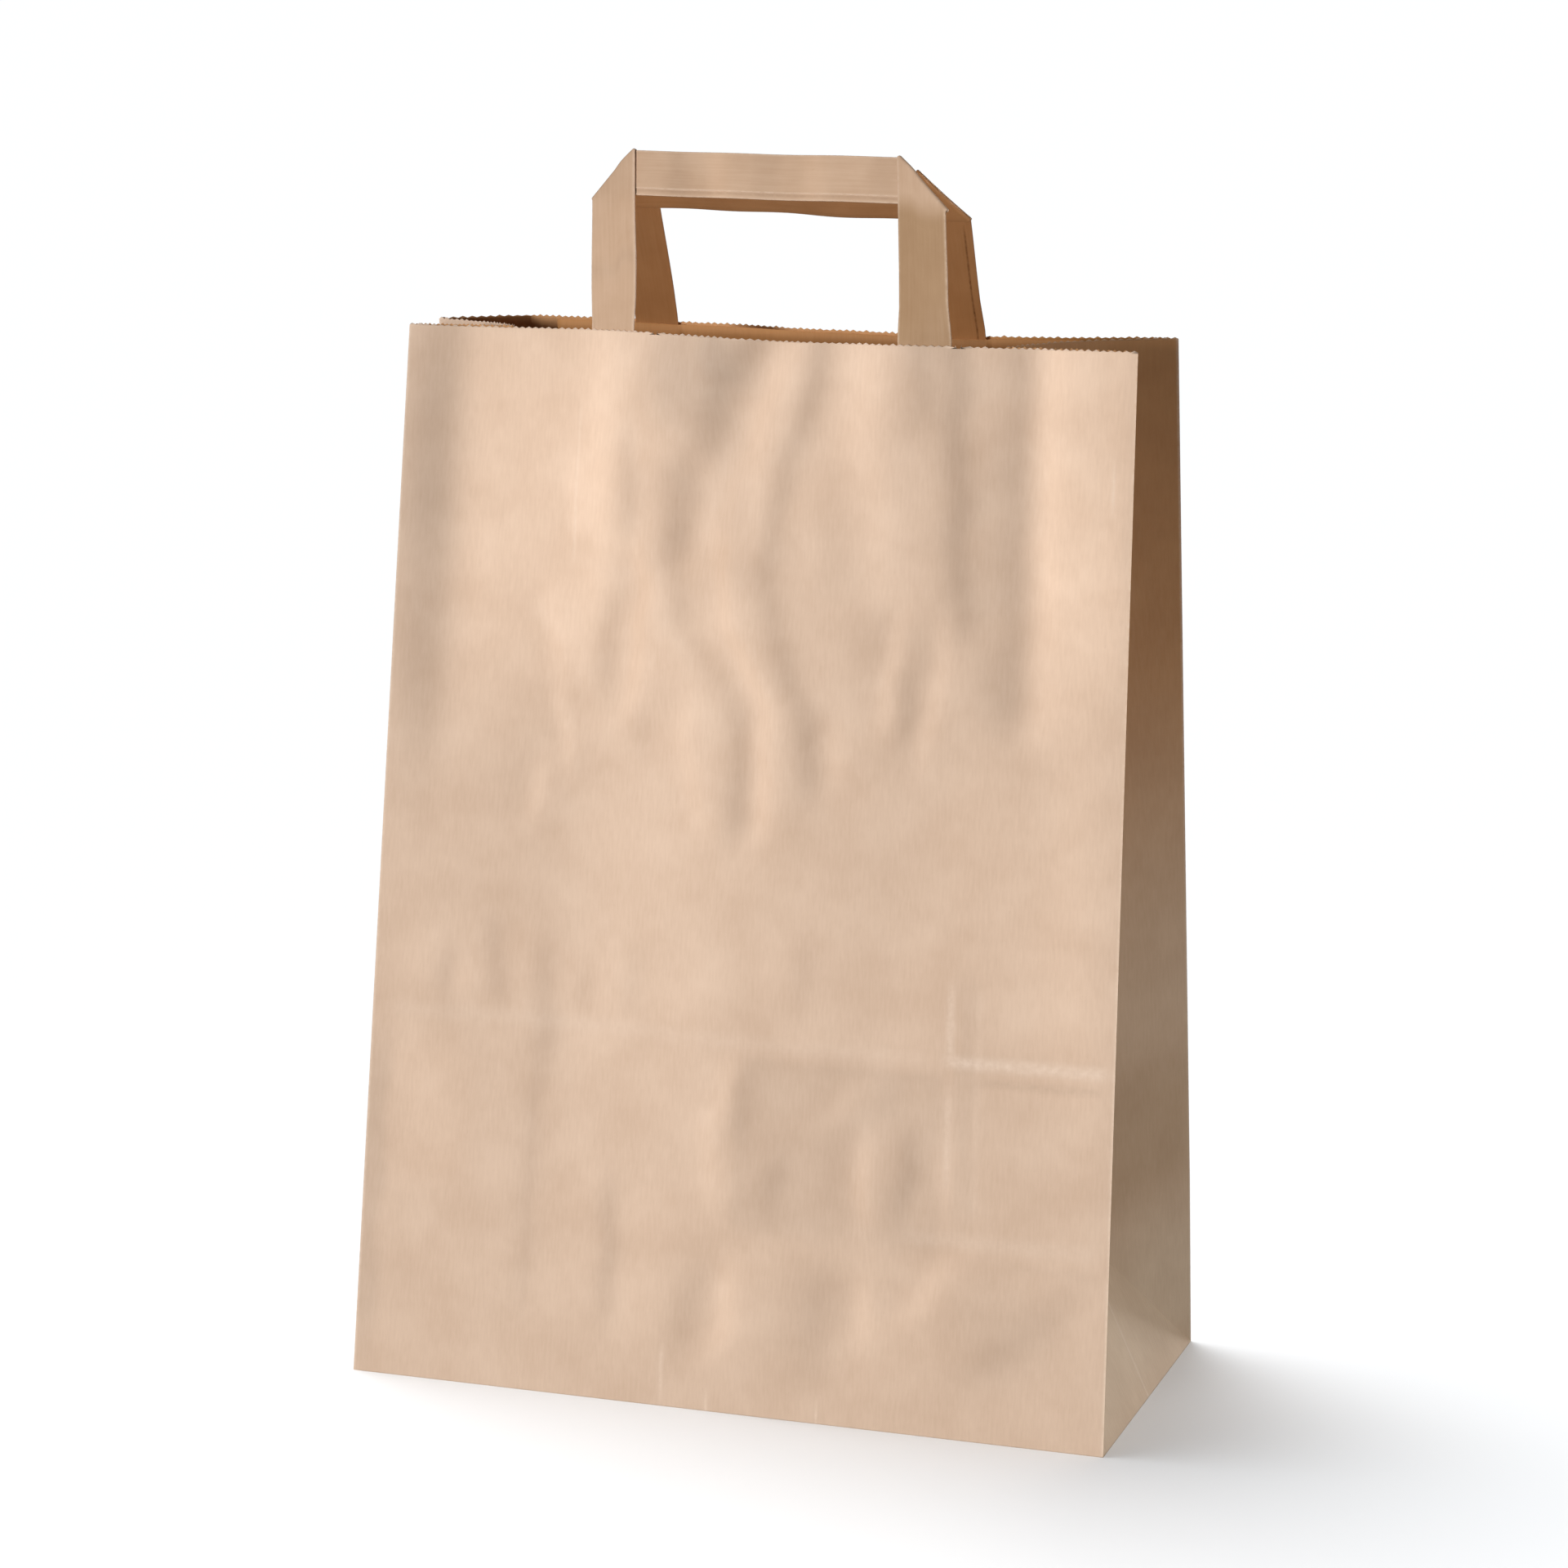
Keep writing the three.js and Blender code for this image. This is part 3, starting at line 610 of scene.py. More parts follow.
def handle_points(side, u, v, w):
    """Points of a handle from tape places u, v and depth w, glued below the rim and free above it."""
    feet, tops = handle_feet_and_tops(side)
    glued = inside_panel(side, u, np.minimum(v, 0), LEG_DEPTH + w)
    k = ((u + LEG_MIDDLE) / (2 * LEG_MIDDLE))[..., None]
    foot = mix(feet[0], feet[1], k)
    top = mix(tops[0], tops[1], k)
    free = smooth(v / LEG_BEND)[..., None]
    at_rim = inside_panel(side, u, np.zeros_like(u), LEG_DEPTH)
    inward = unit(np.cross(tops[0] - feet[0], feet[1] - feet[0])) * side
    deeper = inside_panel(side, u, np.zeros_like(u), LEG_DEPTH + 1)
    normal = unit(mix(unit(deeper - at_rim), inward, free))
    leaning = mix(foot, top, (v / HANDLE_RISE)[..., None])
    loose = leaning + (at_rim - foot) * (1 - free) + normal * w[..., None]
    return np.where((v <= 0)[..., None], glued, loose)


print("front handle tops at", handle_feet_and_tops(1)[1].round(1).tolist())

# %% [markdown]
# The tape is several layers of paper. Its long edges are folds, so they are rounded, and one layer
# ends a few millimetres from the edge, which shows as a fine seam along the tape. A faint ripple keeps
# the free part from looking like sheet metal.

# %% Tape section and strip
FACE_STEPS = 12
EDGE_STEPS = 4
TOP_STEPS = 26
LEG_STEPS = 24
FOLD_STEPS = 10
SEAM_STEPS = 4
SEAM_RISE = 0.05
STRIP_EASE = 4.0
RIPPLE_HEIGHT = 0.9
RIPPLE_LENGTHS = (8.5, 23)
RIPPLE_FROM = 20


def tape_section():
    """Closed outline of (place across the tape, height through it), seam side first."""
    r = TAPE_THICKNESS / 2
    seam_floor = [(a, PAPER - r) for a in np.linspace(r, TAPE_SEAM, SEAM_STEPS)]
    face = [(a, -r) for a in np.linspace(TAPE_SEAM + SEAM_RISE, TAPE_WIDTH - r, FACE_STEPS)]
    turns = np.linspace(-math.pi / 2, math.pi / 2, EDGE_STEPS + 1)[1:-1]
    far_edge = [(TAPE_WIDTH - r + r * math.cos(g), r * math.sin(g)) for g in turns]
    back = [(a, r) for a in np.linspace(TAPE_WIDTH - r, r, FACE_STEPS + 3)]
    near_edge = [(r - r * math.cos(g), r * math.sin(g)) for g in turns[::-1]]
    return np.array(seam_floor + face + far_edge + back + near_edge)


def left_tape_rows(section):
    """Left half of the tape as rows of (u, v, w), with the length run along the tape."""
    a, h = section.T
    outer = -HANDLE_SPAN / 2
    fold_foot = HANDLE_RISE - TAPE_WIDTH
    bend = (TAPE_THICKNESS + FOLD_GAP) / 2
    rows = []
    for k in np.linspace(0, 1, LEG_STEPS + 1):
        end = fold_foot + a * smooth((k - 0.5) / 0.5)
        height = mix(-GLUED_LEG, end, k)
        rows.append((outer + a, height, -h, height + GLUED_LEG))
    for angle in np.linspace(0, math.pi, FOLD_STEPS + 1)[1:]:
        out = (bend + h) * math.sin(angle) * math.sqrt(0.5)
        depth = bend - (bend + h) * math.cos(angle)
        rows.append((outer + a - out, fold_foot + a + out, depth, fold_foot + a + GLUED_LEG))
    for k in np.linspace(0, 1, TOP_STEPS + 1)[1:]:
        start = outer + a
        along = mix(start, 0 * a, k)
        length = fold_foot + a + GLUED_LEG + along - start
        rows.append((along, fold_foot + a, 2 * bend + h, length))
    return rows


def tape_mesh(name, side):
    section = tape_section()
    left = left_tape_rows(section)
    whole = 2 * left[-1][3].max()
    right = [(-u, v, w, whole - run) for u, v, w, run in left[-2::-1]]
    rows = left + right
    u, v, w, run = (np.array([row[i] for row in rows]) for i in range(4))
    strip = smooth((HANDLE_SPAN / 2 - TAPE_WIDTH / 2 - np.abs(u)) / STRIP_EASE) * (v > LEG_BEND)
    v = v + (HANDLE_RISE - v) * STRIP_LIFT[side] * strip
    short_wave, long_wave = RIPPLE_LENGTHS
    ripple = RIPPLE_HEIGHT * np.sin(u / short_wave + side) * np.sin(u / long_wave + 1)
    place = handle_points(side, u, v, w + ripple * smooth((v - RIPPLE_FROM) / RIPPLE_FROM))
    n = len(section)
    ring = np.arange(len(rows) * n).reshape(len(rows), n)
    across = np.roll(ring, -1, axis=1)
    quads = np.stack([ring[:-1], across[:-1], across[1:], ring[1:]], axis=-1).reshape(-1, 4)
    if side < 0:
        quads = quads[:, ::-1]
    ends = [ring[0][::-1].tolist(), ring[-1].tolist()]
    flat = np.stack([np.broadcast_to(section[:, 0], run.shape).ravel(), run.ravel()], axis=-1)
    return merged_mesh(name, place.reshape(-1, 3), quads.tolist() + ends, flat)


front_tape = place_piece("front_tape", tape_mesh("front_tape", 1), "handle_tape", "front_handle")
back_tape = place_piece("back_tape", tape_mesh("back_tape", -1), "handle_tape", "back_handle")
for tape in (front_tape, back_tape):
    tape.data.set_sharp_from_angle(angle=FOLD_ANGLE)

# %% [markdown]
# ## Strips over the legs
#
# Inside the mouth a strip of paper is glued over the legs of each handle. It lies on the panel and
# steps up over each leg, so it is a grid that follows the panel with a raised profile.

# %% Patch strips
PATCH_WIDTH = 190.0
PATCH_HEIGHT = 50.0
PATCH_DROP = 1.3
PATCH_RAMP = 1.5
PATCH_COLUMNS = 96
PATCH_ROWS = 16
PATCH_PLACE = 200


def patch_mesh(name, side):
    leg_in = HANDLE_SPAN / 2 - TAPE_WIDTH - GLUE_LINE
    leg_out = HANDLE_SPAN / 2 + GLUE_LINE
    half = [0, leg_in - PATCH_RAMP, leg_in, leg_out, leg_out + PATCH_RAMP, PATCH_WIDTH / 2]
    raised = [0, 0, 1, 1, 0, 0]
    even = np.linspace(-PATCH_WIDTH / 2, PATCH_WIDTH / 2, PATCH_COLUMNS)
    u = np.unique(np.concatenate([even, half, np.negative(half)]))
    v = np.linspace(-PATCH_DROP - PATCH_HEIGHT, -PATCH_DROP, PATCH_ROWS)
    w = GLUE_LINE + (TAPE_THICKNESS + GLUE_LINE) * np.interp(np.abs(u), half, raised)
    u_grid, v_grid = np.meshgrid(u, v)
    place = inside_panel(side, u_grid, v_grid, np.broadcast_to(w, u_grid.shape))
    grid = np.arange(u_grid.size).reshape(u_grid.shape)
    quads = np.stack([grid[:-1, :-1], grid[1:, :-1], grid[1:, 1:], grid[:-1, 1:]], axis=-1).reshape(-1, 4)
    if side < 0:
        quads = quads[:, ::-1]
    flat = np.stack([u_grid.ravel() + PATCH_PLACE, v_grid.ravel()], axis=-1)
    return merged_mesh(name, place.reshape(-1, 3), quads.tolist(), flat)


front_strip = place_piece("front_strip", patch_mesh("front_strip", 1), "patch_paper", "front_patch")
back_strip = place_piece("back_strip", patch_mesh("back_strip", -1), "patch_paper", "back_patch")
for strip in (front_strip, back_strip):
    thicken_inwards(strip, PAPER, side=1)

# %% [markdown]
# ## Kraft fibres as a node group
#
# Unbleached kraft is a felt of long fibres: fine streaks along the sheet, cloudy patches, and a few
# dark flecks. Body, tape and strips all show it, so it is one node group, placed in each material with
# its own values. It reads the place on the flat sheet, so the grain follows the paper round every fold.

# %% Node helpers


def new_group(name, inputs, outputs):
    group = bpy.data.node_groups.new(name, "ShaderNodeTree")
    for socket, kind, value in inputs:
        made = group.interface.new_socket(name=socket, in_out="INPUT", socket_type=kind)
        if value is not None:
            made.default_value = value
    for socket, kind in outputs:
        group.interface.new_socket(name=socket, in_out="OUTPUT", socket_type=kind)
    return group, group.nodes.new("NodeGroupInput"), group.nodes.new("NodeGroupOutput")


class Wiring:
    """Short names for adding and joining nodes in one tree."""

    def __init__(self, tree):
        self.tree = tree

    def join(self, source, socket):
        if hasattr(source, "is_output"):
            self.tree.links.new(source, socket)
        else:
            socket.default_value = source

    def math(self, operation, *values):
        node = self.tree.nodes.new("ShaderNodeMath")
        node.operation = operation
        for value, socket in zip(values, node.inputs):
            self.join(value, socket)
        return node.outputs[0]

    def stretch(self, vector, scale):
        node = self.tree.nodes.new("ShaderNodeVectorMath")
        node.operation = "MULTIPLY"
        self.join(vector, node.inputs[0])
        self.join(scale, node.inputs[1])
        return node.outputs[0]

    def noise(self, vector, scale, detail=3.0, roughness=0.6):
        node = self.tree.nodes.new("ShaderNodeTexNoise")
        self.join(vector, node.inputs["Vector"])
        self.join(scale, node.inputs["Scale"])
        node.inputs["Detail"].default_value = detail
        node.inputs["Roughness"].default_value = roughness
        return node.outputs["Fac"]

    def span(self, value, low, high, to_low=0.0, to_high=1.0):
        node = self.tree.nodes.new("ShaderNodeMapRange")
        node.interpolation_type = "SMOOTHSTEP"
        for source, socket in zip((value, low, high, to_low, to_high), node.inputs):
            self.join(source, socket)
        return node.outputs[0]

    def blend(self, mode, share, a, b):
        node = self.tree.nodes.new("ShaderNodeMix")
        node.data_type = "RGBA"
        node.blend_type = mode
        self.join(share, node.inputs["Factor"])
        self.join(a, node.inputs[6])
        self.join(b, node.inputs[7])
        return node.outputs[2]


print("node helpers ready")

# %% Fibre group
FLECK_RANGE = (0.69, 0.76)
STREAK_RELIEF = 0.6
FELT_RELIEF = 0.4


def kraft_fibres():
    group, given, made = new_group(
        "kraft_fibres",
        [("Place", "NodeSocketVector", None), ("Streak Length", "NodeSocketFloat", 8.0)],
        [("Streaks", "NodeSocketFloat"), ("Clouds", "NodeSocketFloat"),
         ("Flecks", "NodeSocketFloat"), ("Height", "NodeSocketFloat")],
    )
    w = Wiring(group)
    place = given.outputs["Place"]
    squeeze = w.math("DIVIDE", 1.0, given.outputs["Streak Length"])
    scale = group.nodes.new("ShaderNodeCombineXYZ")
    scale.inputs["X"].default_value = 1.0
    scale.inputs["Z"].default_value = 1.0
    w.join(squeeze, scale.inputs["Y"])
    drawn = w.stretch(place, scale.outputs[0])
    streaks = w.noise(drawn, scale=1.1, detail=4.0, roughness=0.65)
    clouds = w.noise(place, scale=0.045, detail=4.0, roughness=0.55)
    short = w.stretch(place, (1.0, 0.35, 1.0))
    flecks = w.span(w.noise(short, scale=0.9, detail=2.0, roughness=0.5), *FLECK_RANGE)
    felt = w.noise(place, scale=2.6, detail=3.0, roughness=0.7)
    height = w.math("MULTIPLY_ADD", streaks, STREAK_RELIEF, w.math("MULTIPLY", felt, FELT_RELIEF))
    results = {"Streaks": streaks, "Clouds": clouds, "Flecks": flecks, "Height": height}
    for name, value in results.items():
        w.join(value, made.inputs[name])
    return group


fibre_group = kraft_fibres()
print("node group", fibre_group.name, "with", len(fibre_group.nodes), "nodes")

# %% [markdown]
# ## Worn lines, and painted light and shade along creases
#
# Where kraft is folded or cut its fibres break and turn pale. A group gives a thin, uneven line at a
# chosen place along the sheet. The body uses it at every fold and at the knife cut, and for the painted
# highlights and painted shade along the small creases that the bag's flat packing left.

# %% Line group for wear and painted shade
LINE_END = 9.0


def wear_and_shade_line():
    group, given, made = new_group(
        "wear_and_shade_line",
        [("Place", "NodeSocketVector", None), ("Across", "NodeSocketFloat", 0.0),
         ("Along", "NodeSocketFloat", 0.0), ("At", "NodeSocketFloat", 0.0),
         ("Width", "NodeSocketFloat", 1.0), ("From", "NodeSocketFloat", -1000.0),
         ("To", "NodeSocketFloat", 1000.0)],
        [("Mask", "NodeSocketFloat")],
    )
    w = Wiring(group)
    away = w.math("ABSOLUTE", w.math("SUBTRACT", given.outputs["Across"], given.outputs["At"]))
    broken = w.noise(given.outputs["Place"], scale=0.5, detail=3.0)
    ragged = w.span(broken, low=0.25, high=0.8, to_low=0.35, to_high=1.0)
    line = w.span(w.math("DIVIDE", away, given.outputs["Width"]), 0.0, 1.0, 1.0, 0.0)
    after = w.span(w.math("SUBTRACT", given.outputs["Along"], given.outputs["From"]), 0.0, LINE_END)
    before = w.span(w.math("SUBTRACT", given.outputs["To"], given.outputs["Along"]), 0.0, LINE_END)
    limits = w.math("MULTIPLY", after, before)
    w.join(w.math("MULTIPLY", w.math("MULTIPLY", line, ragged), limits), made.inputs["Mask"])
    return group


line_group = wear_and_shade_line()
print("node group", line_group.name)

# %% [markdown]
# ## Soft patches of tone
#
# Lighter and darker patches on the bag are mostly painted light and shade: lighter where the paper would
# face the light and darker where it would fall into shade. A few are darker marks where the paper was
# pressed. One group gives a soft rectangle anywhere on the flat sheet, and noise moves its edge so that
# it never looks ruled.

# %% Soft patch group


def soft_patch():
    group, given, made = new_group(
        "soft_patch",
        [("Place", "NodeSocketVector", None), ("Centre", "NodeSocketVector", (0.0, 0.0, 0.0)),
         ("Half Size", "NodeSocketVector", (10.0, 10.0, 0.0)),
         ("Soft", "NodeSocketVector", (5.0, 5.0, 1.0)),
         ("Wander", "NodeSocketFloat", 7.0)],
        [("Mask", "NodeSocketFloat")],
    )
    w = Wiring(group)
    cloud = w.math("SUBTRACT", w.noise(given.outputs["Place"], scale=0.05, detail=2.0), 0.5)
    wander = w.math("MULTIPLY", cloud, given.outputs["Wander"])
    parts = []
    for name in ("Place", "Centre", "Half Size", "Soft"):
        split = group.nodes.new("ShaderNodeSeparateXYZ")
        w.join(given.outputs[name], split.inputs[0])
        parts.append(split)
    place, centre, half, soft = parts
    mask = 1.0
    for axis in ("X", "Y"):
        away = w.math("ABSOLUTE", w.math("SUBTRACT", place.outputs[axis], centre.outputs[axis]))
        beyond = w.math("ADD", w.math("SUBTRACT", away, half.outputs[axis]), wander)
        inside = w.span(w.math("DIVIDE", beyond, soft.outputs[axis]), -1.0, 1.0, 1.0, 0.0)
        mask = w.math("MULTIPLY", mask, inside)
    w.join(mask, made.inputs["Mask"])
    return group


patch_group = soft_patch()
print("node group", patch_group.name)

# %% [markdown]
# ## Kraft finishes
#
# Body and tape are the same family of paper in slightly different browns. The strips and the inside of the
# sheet are browner, and that brown is painted shade. One function builds the material from its colours,
# and the body adds its marks and its painted light and shade on top.

# %% Paper materials
STREAK_TONE = 0.5
CLOUD_TONE = 0.9
TONE_RANGE = (0.3, 1.1)
FLECK_SHARE = 0.35
STREAK_RANGE = (0.3, 0.7)
ROUGHNESS_RANGE = (0.7, 0.6)
SPECULAR = 0.3
BUMP_STRENGTH = 0.35
BUMP_DISTANCE = 0.00012


def group_node(tree, group, **values):
    node = tree.nodes.new("ShaderNodeGroup")
    node.node_tree = group
    for name, value in values.items():
        Wiring(tree).join(value, node.inputs[name.replace("_", " ")])
    return node


def srgb(r, g, b):
    """Display colour from 0 to 255 as the linear colour that a shader needs."""
    scaled = np.array((r, g, b)) / 255
    linear = np.where(scaled < 0.04045, scaled / 12.92, ((scaled + 0.055) / 1.055) ** 2.4)
    return (*linear.tolist(), 1.0)


# Colour of the dark lines: painted shade beside the front's small creases, and the seam on the tape.
DARK_LINE_COLOUR = srgb(120, 88, 64)


def kraft_material(name, light, dark, pale, lines=(), patches=(), streak=8.0):
    """Paper with its fibres, lines (axis, at, width, from, to, share) of wear or painted light and shade,
    and tinted patches.
    """
    material = bpy.data.materials.new(name)
    material.use_nodes = True
    tree = material.node_tree
    w = Wiring(tree)
    shader = tree.nodes["Principled BSDF"]
    place_node = tree.nodes.new("ShaderNodeAttribute")
    place_node.attribute_name = "flat_place"
    place = place_node.outputs["Vector"]
    split = tree.nodes.new("ShaderNodeSeparateXYZ")
    w.join(place, split.inputs[0])
    fibres = group_node(tree, fibre_group, Place=place, Streak_Length=streak)
    streak_share = w.math("MULTIPLY", fibres.outputs["Streaks"], STREAK_TONE)
    tone = w.math("MULTIPLY_ADD", fibres.outputs["Clouds"], CLOUD_TONE, streak_share)
    colour = w.blend("MIX", w.span(tone, *TONE_RANGE), dark, light)
    fleck_share = w.math("MULTIPLY", fibres.outputs["Flecks"], FLECK_SHARE)
    colour = w.blend("MIX", fleck_share, colour, dark)
    for centre, half, soft, wander, tint in patches:
        node = group_node(tree, patch_group, Place=place, Centre=(*centre, 0.0),
                          Half_Size=(*half, 0.0), Soft=(*soft, 1.0), Wander=wander)
        colour = w.blend("MULTIPLY", node.outputs["Mask"], colour, (*tint, 1))
    for axis, at, width, start, end, share in lines:
        other = "Y" if axis == "X" else "X"
        node = group_node(tree, line_group, Place=place, Across=split.outputs[axis],
                          Along=split.outputs[other], At=at, Width=width, From=start, To=end)
        mark = pale if share > 0 else DARK_LINE_COLOUR
        colour = w.blend("MIX", w.math("MULTIPLY", node.outputs["Mask"], abs(share)), colour, mark)
    w.join(colour, shader.inputs["Base Color"])
    roughness = w.span(fibres.outputs["Streaks"], *STREAK_RANGE, *ROUGHNESS_RANGE)
    w.join(roughness, shader.inputs["Roughness"])
    shader.inputs["Specular IOR Level"].default_value = SPECULAR
    bump = tree.nodes.new("ShaderNodeBump")
    bump.inputs["Strength"].default_value = BUMP_STRENGTH
    bump.inputs["Distance"].default_value = BUMP_DISTANCE
    w.join(fibres.outputs["Height"], bump.inputs["Height"])
    w.join(bump.outputs["Normal"], shader.inputs["Normal"])
    print("material", name, "with", len(tree.nodes), "nodes")
    return material


EVERYWHERE = (-1000.0, 1000.0)
FOLD_WIDTH = 1.1
CUT_WIDTH = 1.2
WEAR_SHARE = 0.55
FOLD_PLACES = np.cumsum([LAP, HALF_DEPTH, HALF_DEPTH, BAG_WIDTH, HALF_DEPTH, HALF_DEPTH]).tolist()
fold_lines = [("X", at, FOLD_WIDTH, *EVERYWHERE, WEAR_SHARE) for at in FOLD_PLACES]
rim_line = [("Y", PANEL_LENGTH, CUT_WIDTH, *EVERYWHERE, WEAR_SHARE)]

# %% [markdown]
# The front carries the marks of its flat packing: the block bottom was folded up against it, so its
# outline is printed as a level line and two upright ones, and the paper inside that outline is a little
# darker. These small creases, and a few folds near the foot and the right edge, are not in the relief, so
# their light and shade is painted: a pale line is a painted highlight together with worn fibres, and a
# dark line beside it is painted shade. Places are measured from the front's middle and from its foot. A
# share below zero makes a dark line.

# %% Marks, painted highlights and painted shade on the front
# Each line: axis that it is placed on, place, width, from, to, share.
# Pale lines are painted highlights on small creases, and dark lines are painted shade beside them.
SMALL_CREASE_LIGHT_AND_SHADE = [
    ("Y", 123, 4.5, -128, 72, 0.14),
    ("Y", 123, 3.6, 70, 132, 0.55),
    ("Y", 117, 3.0, 2, 74, -0.07),
    ("Y", 117, 2.8, 82, 130, -0.16),
    ("X", 75.5, 2.4, 120, 152, 0.40),
    ("X", 75.5, 2.2, 78, 118, 0.30),
    ("X", 85, 2.2, 70, 152, 0.12),
    ("Y", 65, 4.5, 58, 130, 0.18),
    ("Y", 58, 3.4, 92, 130, -0.07),
    ("X", -70, 2.2, 18, 114, -0.05),
    ("X", 123.5, 0.9, 296, 318, 0.5),
    ("X", -66, 1.0, 270, 330, 0.25),
    ("X", -20, 1.2, -2, 24, 0.35),
    ("X", -4, 0.9, -6, 10, 0.5),
    ("X", 34, 0.9, -6, 10, 0.5),
]
# Each patch: place across and up, half size across and up, softness across and up, tone.
# Most of these patches are painted light and shade: lighter where the paper faces the light, darker in the
# shade of its folds. A few, such as the one inside the bottom's outline, are darker marks from pressing.
FRONT_LIGHT_SHADE_AND_MARKS = [
    (-121, 310, 8, 30, 8, 16, 0.88),
    (-120, 250, 9, 40, 7, 20, 0.94),
    (-80, 300, 28, 60, 9, 40, 1.19),
    (-24, 338, 15, 16, 8, 10, 0.82),
    (40, 325, 10, 30, 8, 20, 1.08),
    (88, 290, 9, 58, 5, 10, 0.96),
    (113, 320, 15, 70, 7, 45, 1.20),
    (118, 200, 12, 90, 10, 40, 1.07),
    (92, 175, 24, 45, 15, 30, 1.05),
    (38, 90, 35, 29, 3, 5, 0.93),
    (-107, 90, 12, 25, 8, 10, 1.05),
    (-127, 60, 4, 50, 3, 15, 0.90),
    (81, 110, 3, 40, 2, 10, 0.95),
    (100, 35, 20, 14, 12, 12, 0.95),
    (-8, 300, 8, 25, 5, 15, 0.90),
    (-8, 342, 9, 9, 5, 6, 0.85),
]
FRONT_WANDER = 7.0
front_crease_light_and_shade = []
for axis, at, width, start, end, share in SMALL_CREASE_LIGHT_AND_SHADE:
    move = FRONT_MIDDLE if axis == "X" else 0
    back_move = FRONT_MIDDLE - move
    front_crease_light_and_shade.append((axis, at + move, width, start + back_move, end + back_move, share))
front_light_shade_and_marks = [((FRONT_MIDDLE + x, v), (half_x, half_v), (soft_x, soft_v), FRONT_WANDER, (tone,) * 3)
                 for x, v, half_x, half_v, soft_x, soft_v, tone in FRONT_LIGHT_SHADE_AND_MARKS]
print(len(front_crease_light_and_shade), "packing lines and", len(front_light_shade_and_marks), "patches of tone")

# %% [markdown]
# The right gusset stands in warm shade that deepens towards the mouth, and the triangle at its foot is
# paler. Light that bounces from brown paper to brown paper turns browner each time. More bounces would
# show a little of it, but the depth of it is easier to hold with a few tints on the flat sheet.

# %% Shade on the gusset and inside
# Each patch: centre and half size on the flat sheet, softness, wander of the edge, tint.
RIGHT_GUSSET = FRONT_MIDDLE + BAG_WIDTH / 2 + HALF_DEPTH
gusset_patches = [((RIGHT_GUSSET, 310), (HALF_DEPTH, 120), (1, 70), 0.0, (0.78, 0.56, 0.34)),
                  ((RIGHT_GUSSET, 175), (HALF_DEPTH, 190), (1, 4), 0.0, (1.0, 0.97, 0.88)),
                  ((RIGHT_GUSSET, 24), (HALF_DEPTH, 24), (1, 20), 0.0, (1.12, 1.20, 1.26)),
                  ((RIGHT_GUSSET + 32, 84), (28, 22), (8, 12), 4.0, (0.86, 0.83, 0.78))]
BACK_RIGHT = LAP + 2 * BAG_DEPTH + BAG_WIDTH
inside_patches = [((BACK_RIGHT + 20, PANEL_LENGTH), (45, 50), (25, 20), 0.0, (0.90, 0.83, 0.62))]
print(len(gusset_patches), "patches on the gusset and", len(inside_patches), "inside")

# %% [markdown]
# The tape has a lapped seam near one edge. Lighter and darker bands across its free part paint the light
# and shade on its ripples, and the front one's right leg is painted browner as shade, its left leg a
# little lighter as light. The places run along the tape, from the end of the left leg to the end of the
# right one.

# %% Marks on the tape
LEG_RUN = GLUED_LEG + HANDLE_RISE - TAPE_WIDTH
TAPE_RUN = 2 * LEG_RUN + HANDLE_SPAN
TAPE_WANDER = 3.0
tape_edges = [("X", at, FOLD_WIDTH, *EVERYWHERE, WEAR_SHARE) for at in (0.0, TAPE_WIDTH)]
tape_seam = [("X", 2.7, 0.6, LEG_RUN, TAPE_RUN - LEG_RUN, 0.55),
             ("X", 1.8, 0.9, LEG_RUN, TAPE_RUN - LEG_RUN, -0.25)]
back_seam = [("X", 2.6, 0.6, TAPE_RUN - LEG_RUN, EVERYWHERE[1], -0.9)]
# Each band, a painted light or shade: place along the tape from its middle, half length, tone.
TAPE_LIGHT_AND_SHADE_BANDS = [(-33, 4, 0.90), (-18, 4, 1.12), (0, 5, 0.93), (17, 4, 1.08), (44, 6, 0.94), (-88, 2, 0.92)]
tape_light_and_shade_bands = [((TAPE_WIDTH / 2, TAPE_RUN / 2 + at), (TAPE_WIDTH, half), (1, 4), TAPE_WANDER, (tone,) * 3)
              for at, half, tone in TAPE_LIGHT_AND_SHADE_BANDS]
leg_size = ((TAPE_WIDTH * 2, LEG_RUN / 2), (1, 5), TAPE_WANDER)
right_leg = (TAPE_WIDTH / 2, TAPE_RUN - LEG_RUN / 2)
left_leg = (TAPE_WIDTH / 2, LEG_RUN / 2)
# Painted shade on the front tape's right leg, and painted light on its left one.
front_leg_light_and_shade = [(right_leg, *leg_size, (0.71, 0.65, 0.53)),
                   (left_leg, *leg_size, (1.07, 1.07, 1.07))]
print(len(tape_light_and_shade_bands), "bands along a tape of", round(TAPE_RUN), "mm")

# %% [markdown]
# The inside of the sheet is the same paper seen in its own warm shade, so it gets a browner finish.
# Solidify makes the inside as a second layer and can give it the next material in the list.

# %% Finishes on the pieces
body_kraft = kraft_material("body_kraft", srgb(218, 190, 166), srgb(202, 172, 147), srgb(240, 219, 200),
                            fold_lines + rim_line + front_crease_light_and_shade, front_light_shade_and_marks + gusset_patches)
inside_kraft = kraft_material("inside_kraft", srgb(214, 160, 108), srgb(200, 146, 96), srgb(232, 196, 156),
                              patches=inside_patches)
tape_kraft = kraft_material("tape_kraft", srgb(202, 171, 144), srgb(184, 151, 123), srgb(228, 203, 180),
                            tape_edges + tape_seam, tape_light_and_shade_bands + front_leg_light_and_shade, 30.0)
back_tape_kraft = kraft_material("back_tape_kraft", srgb(202, 171, 144), srgb(184, 151, 123),
                                 srgb(224, 198, 174), back_seam, streak=30.0)
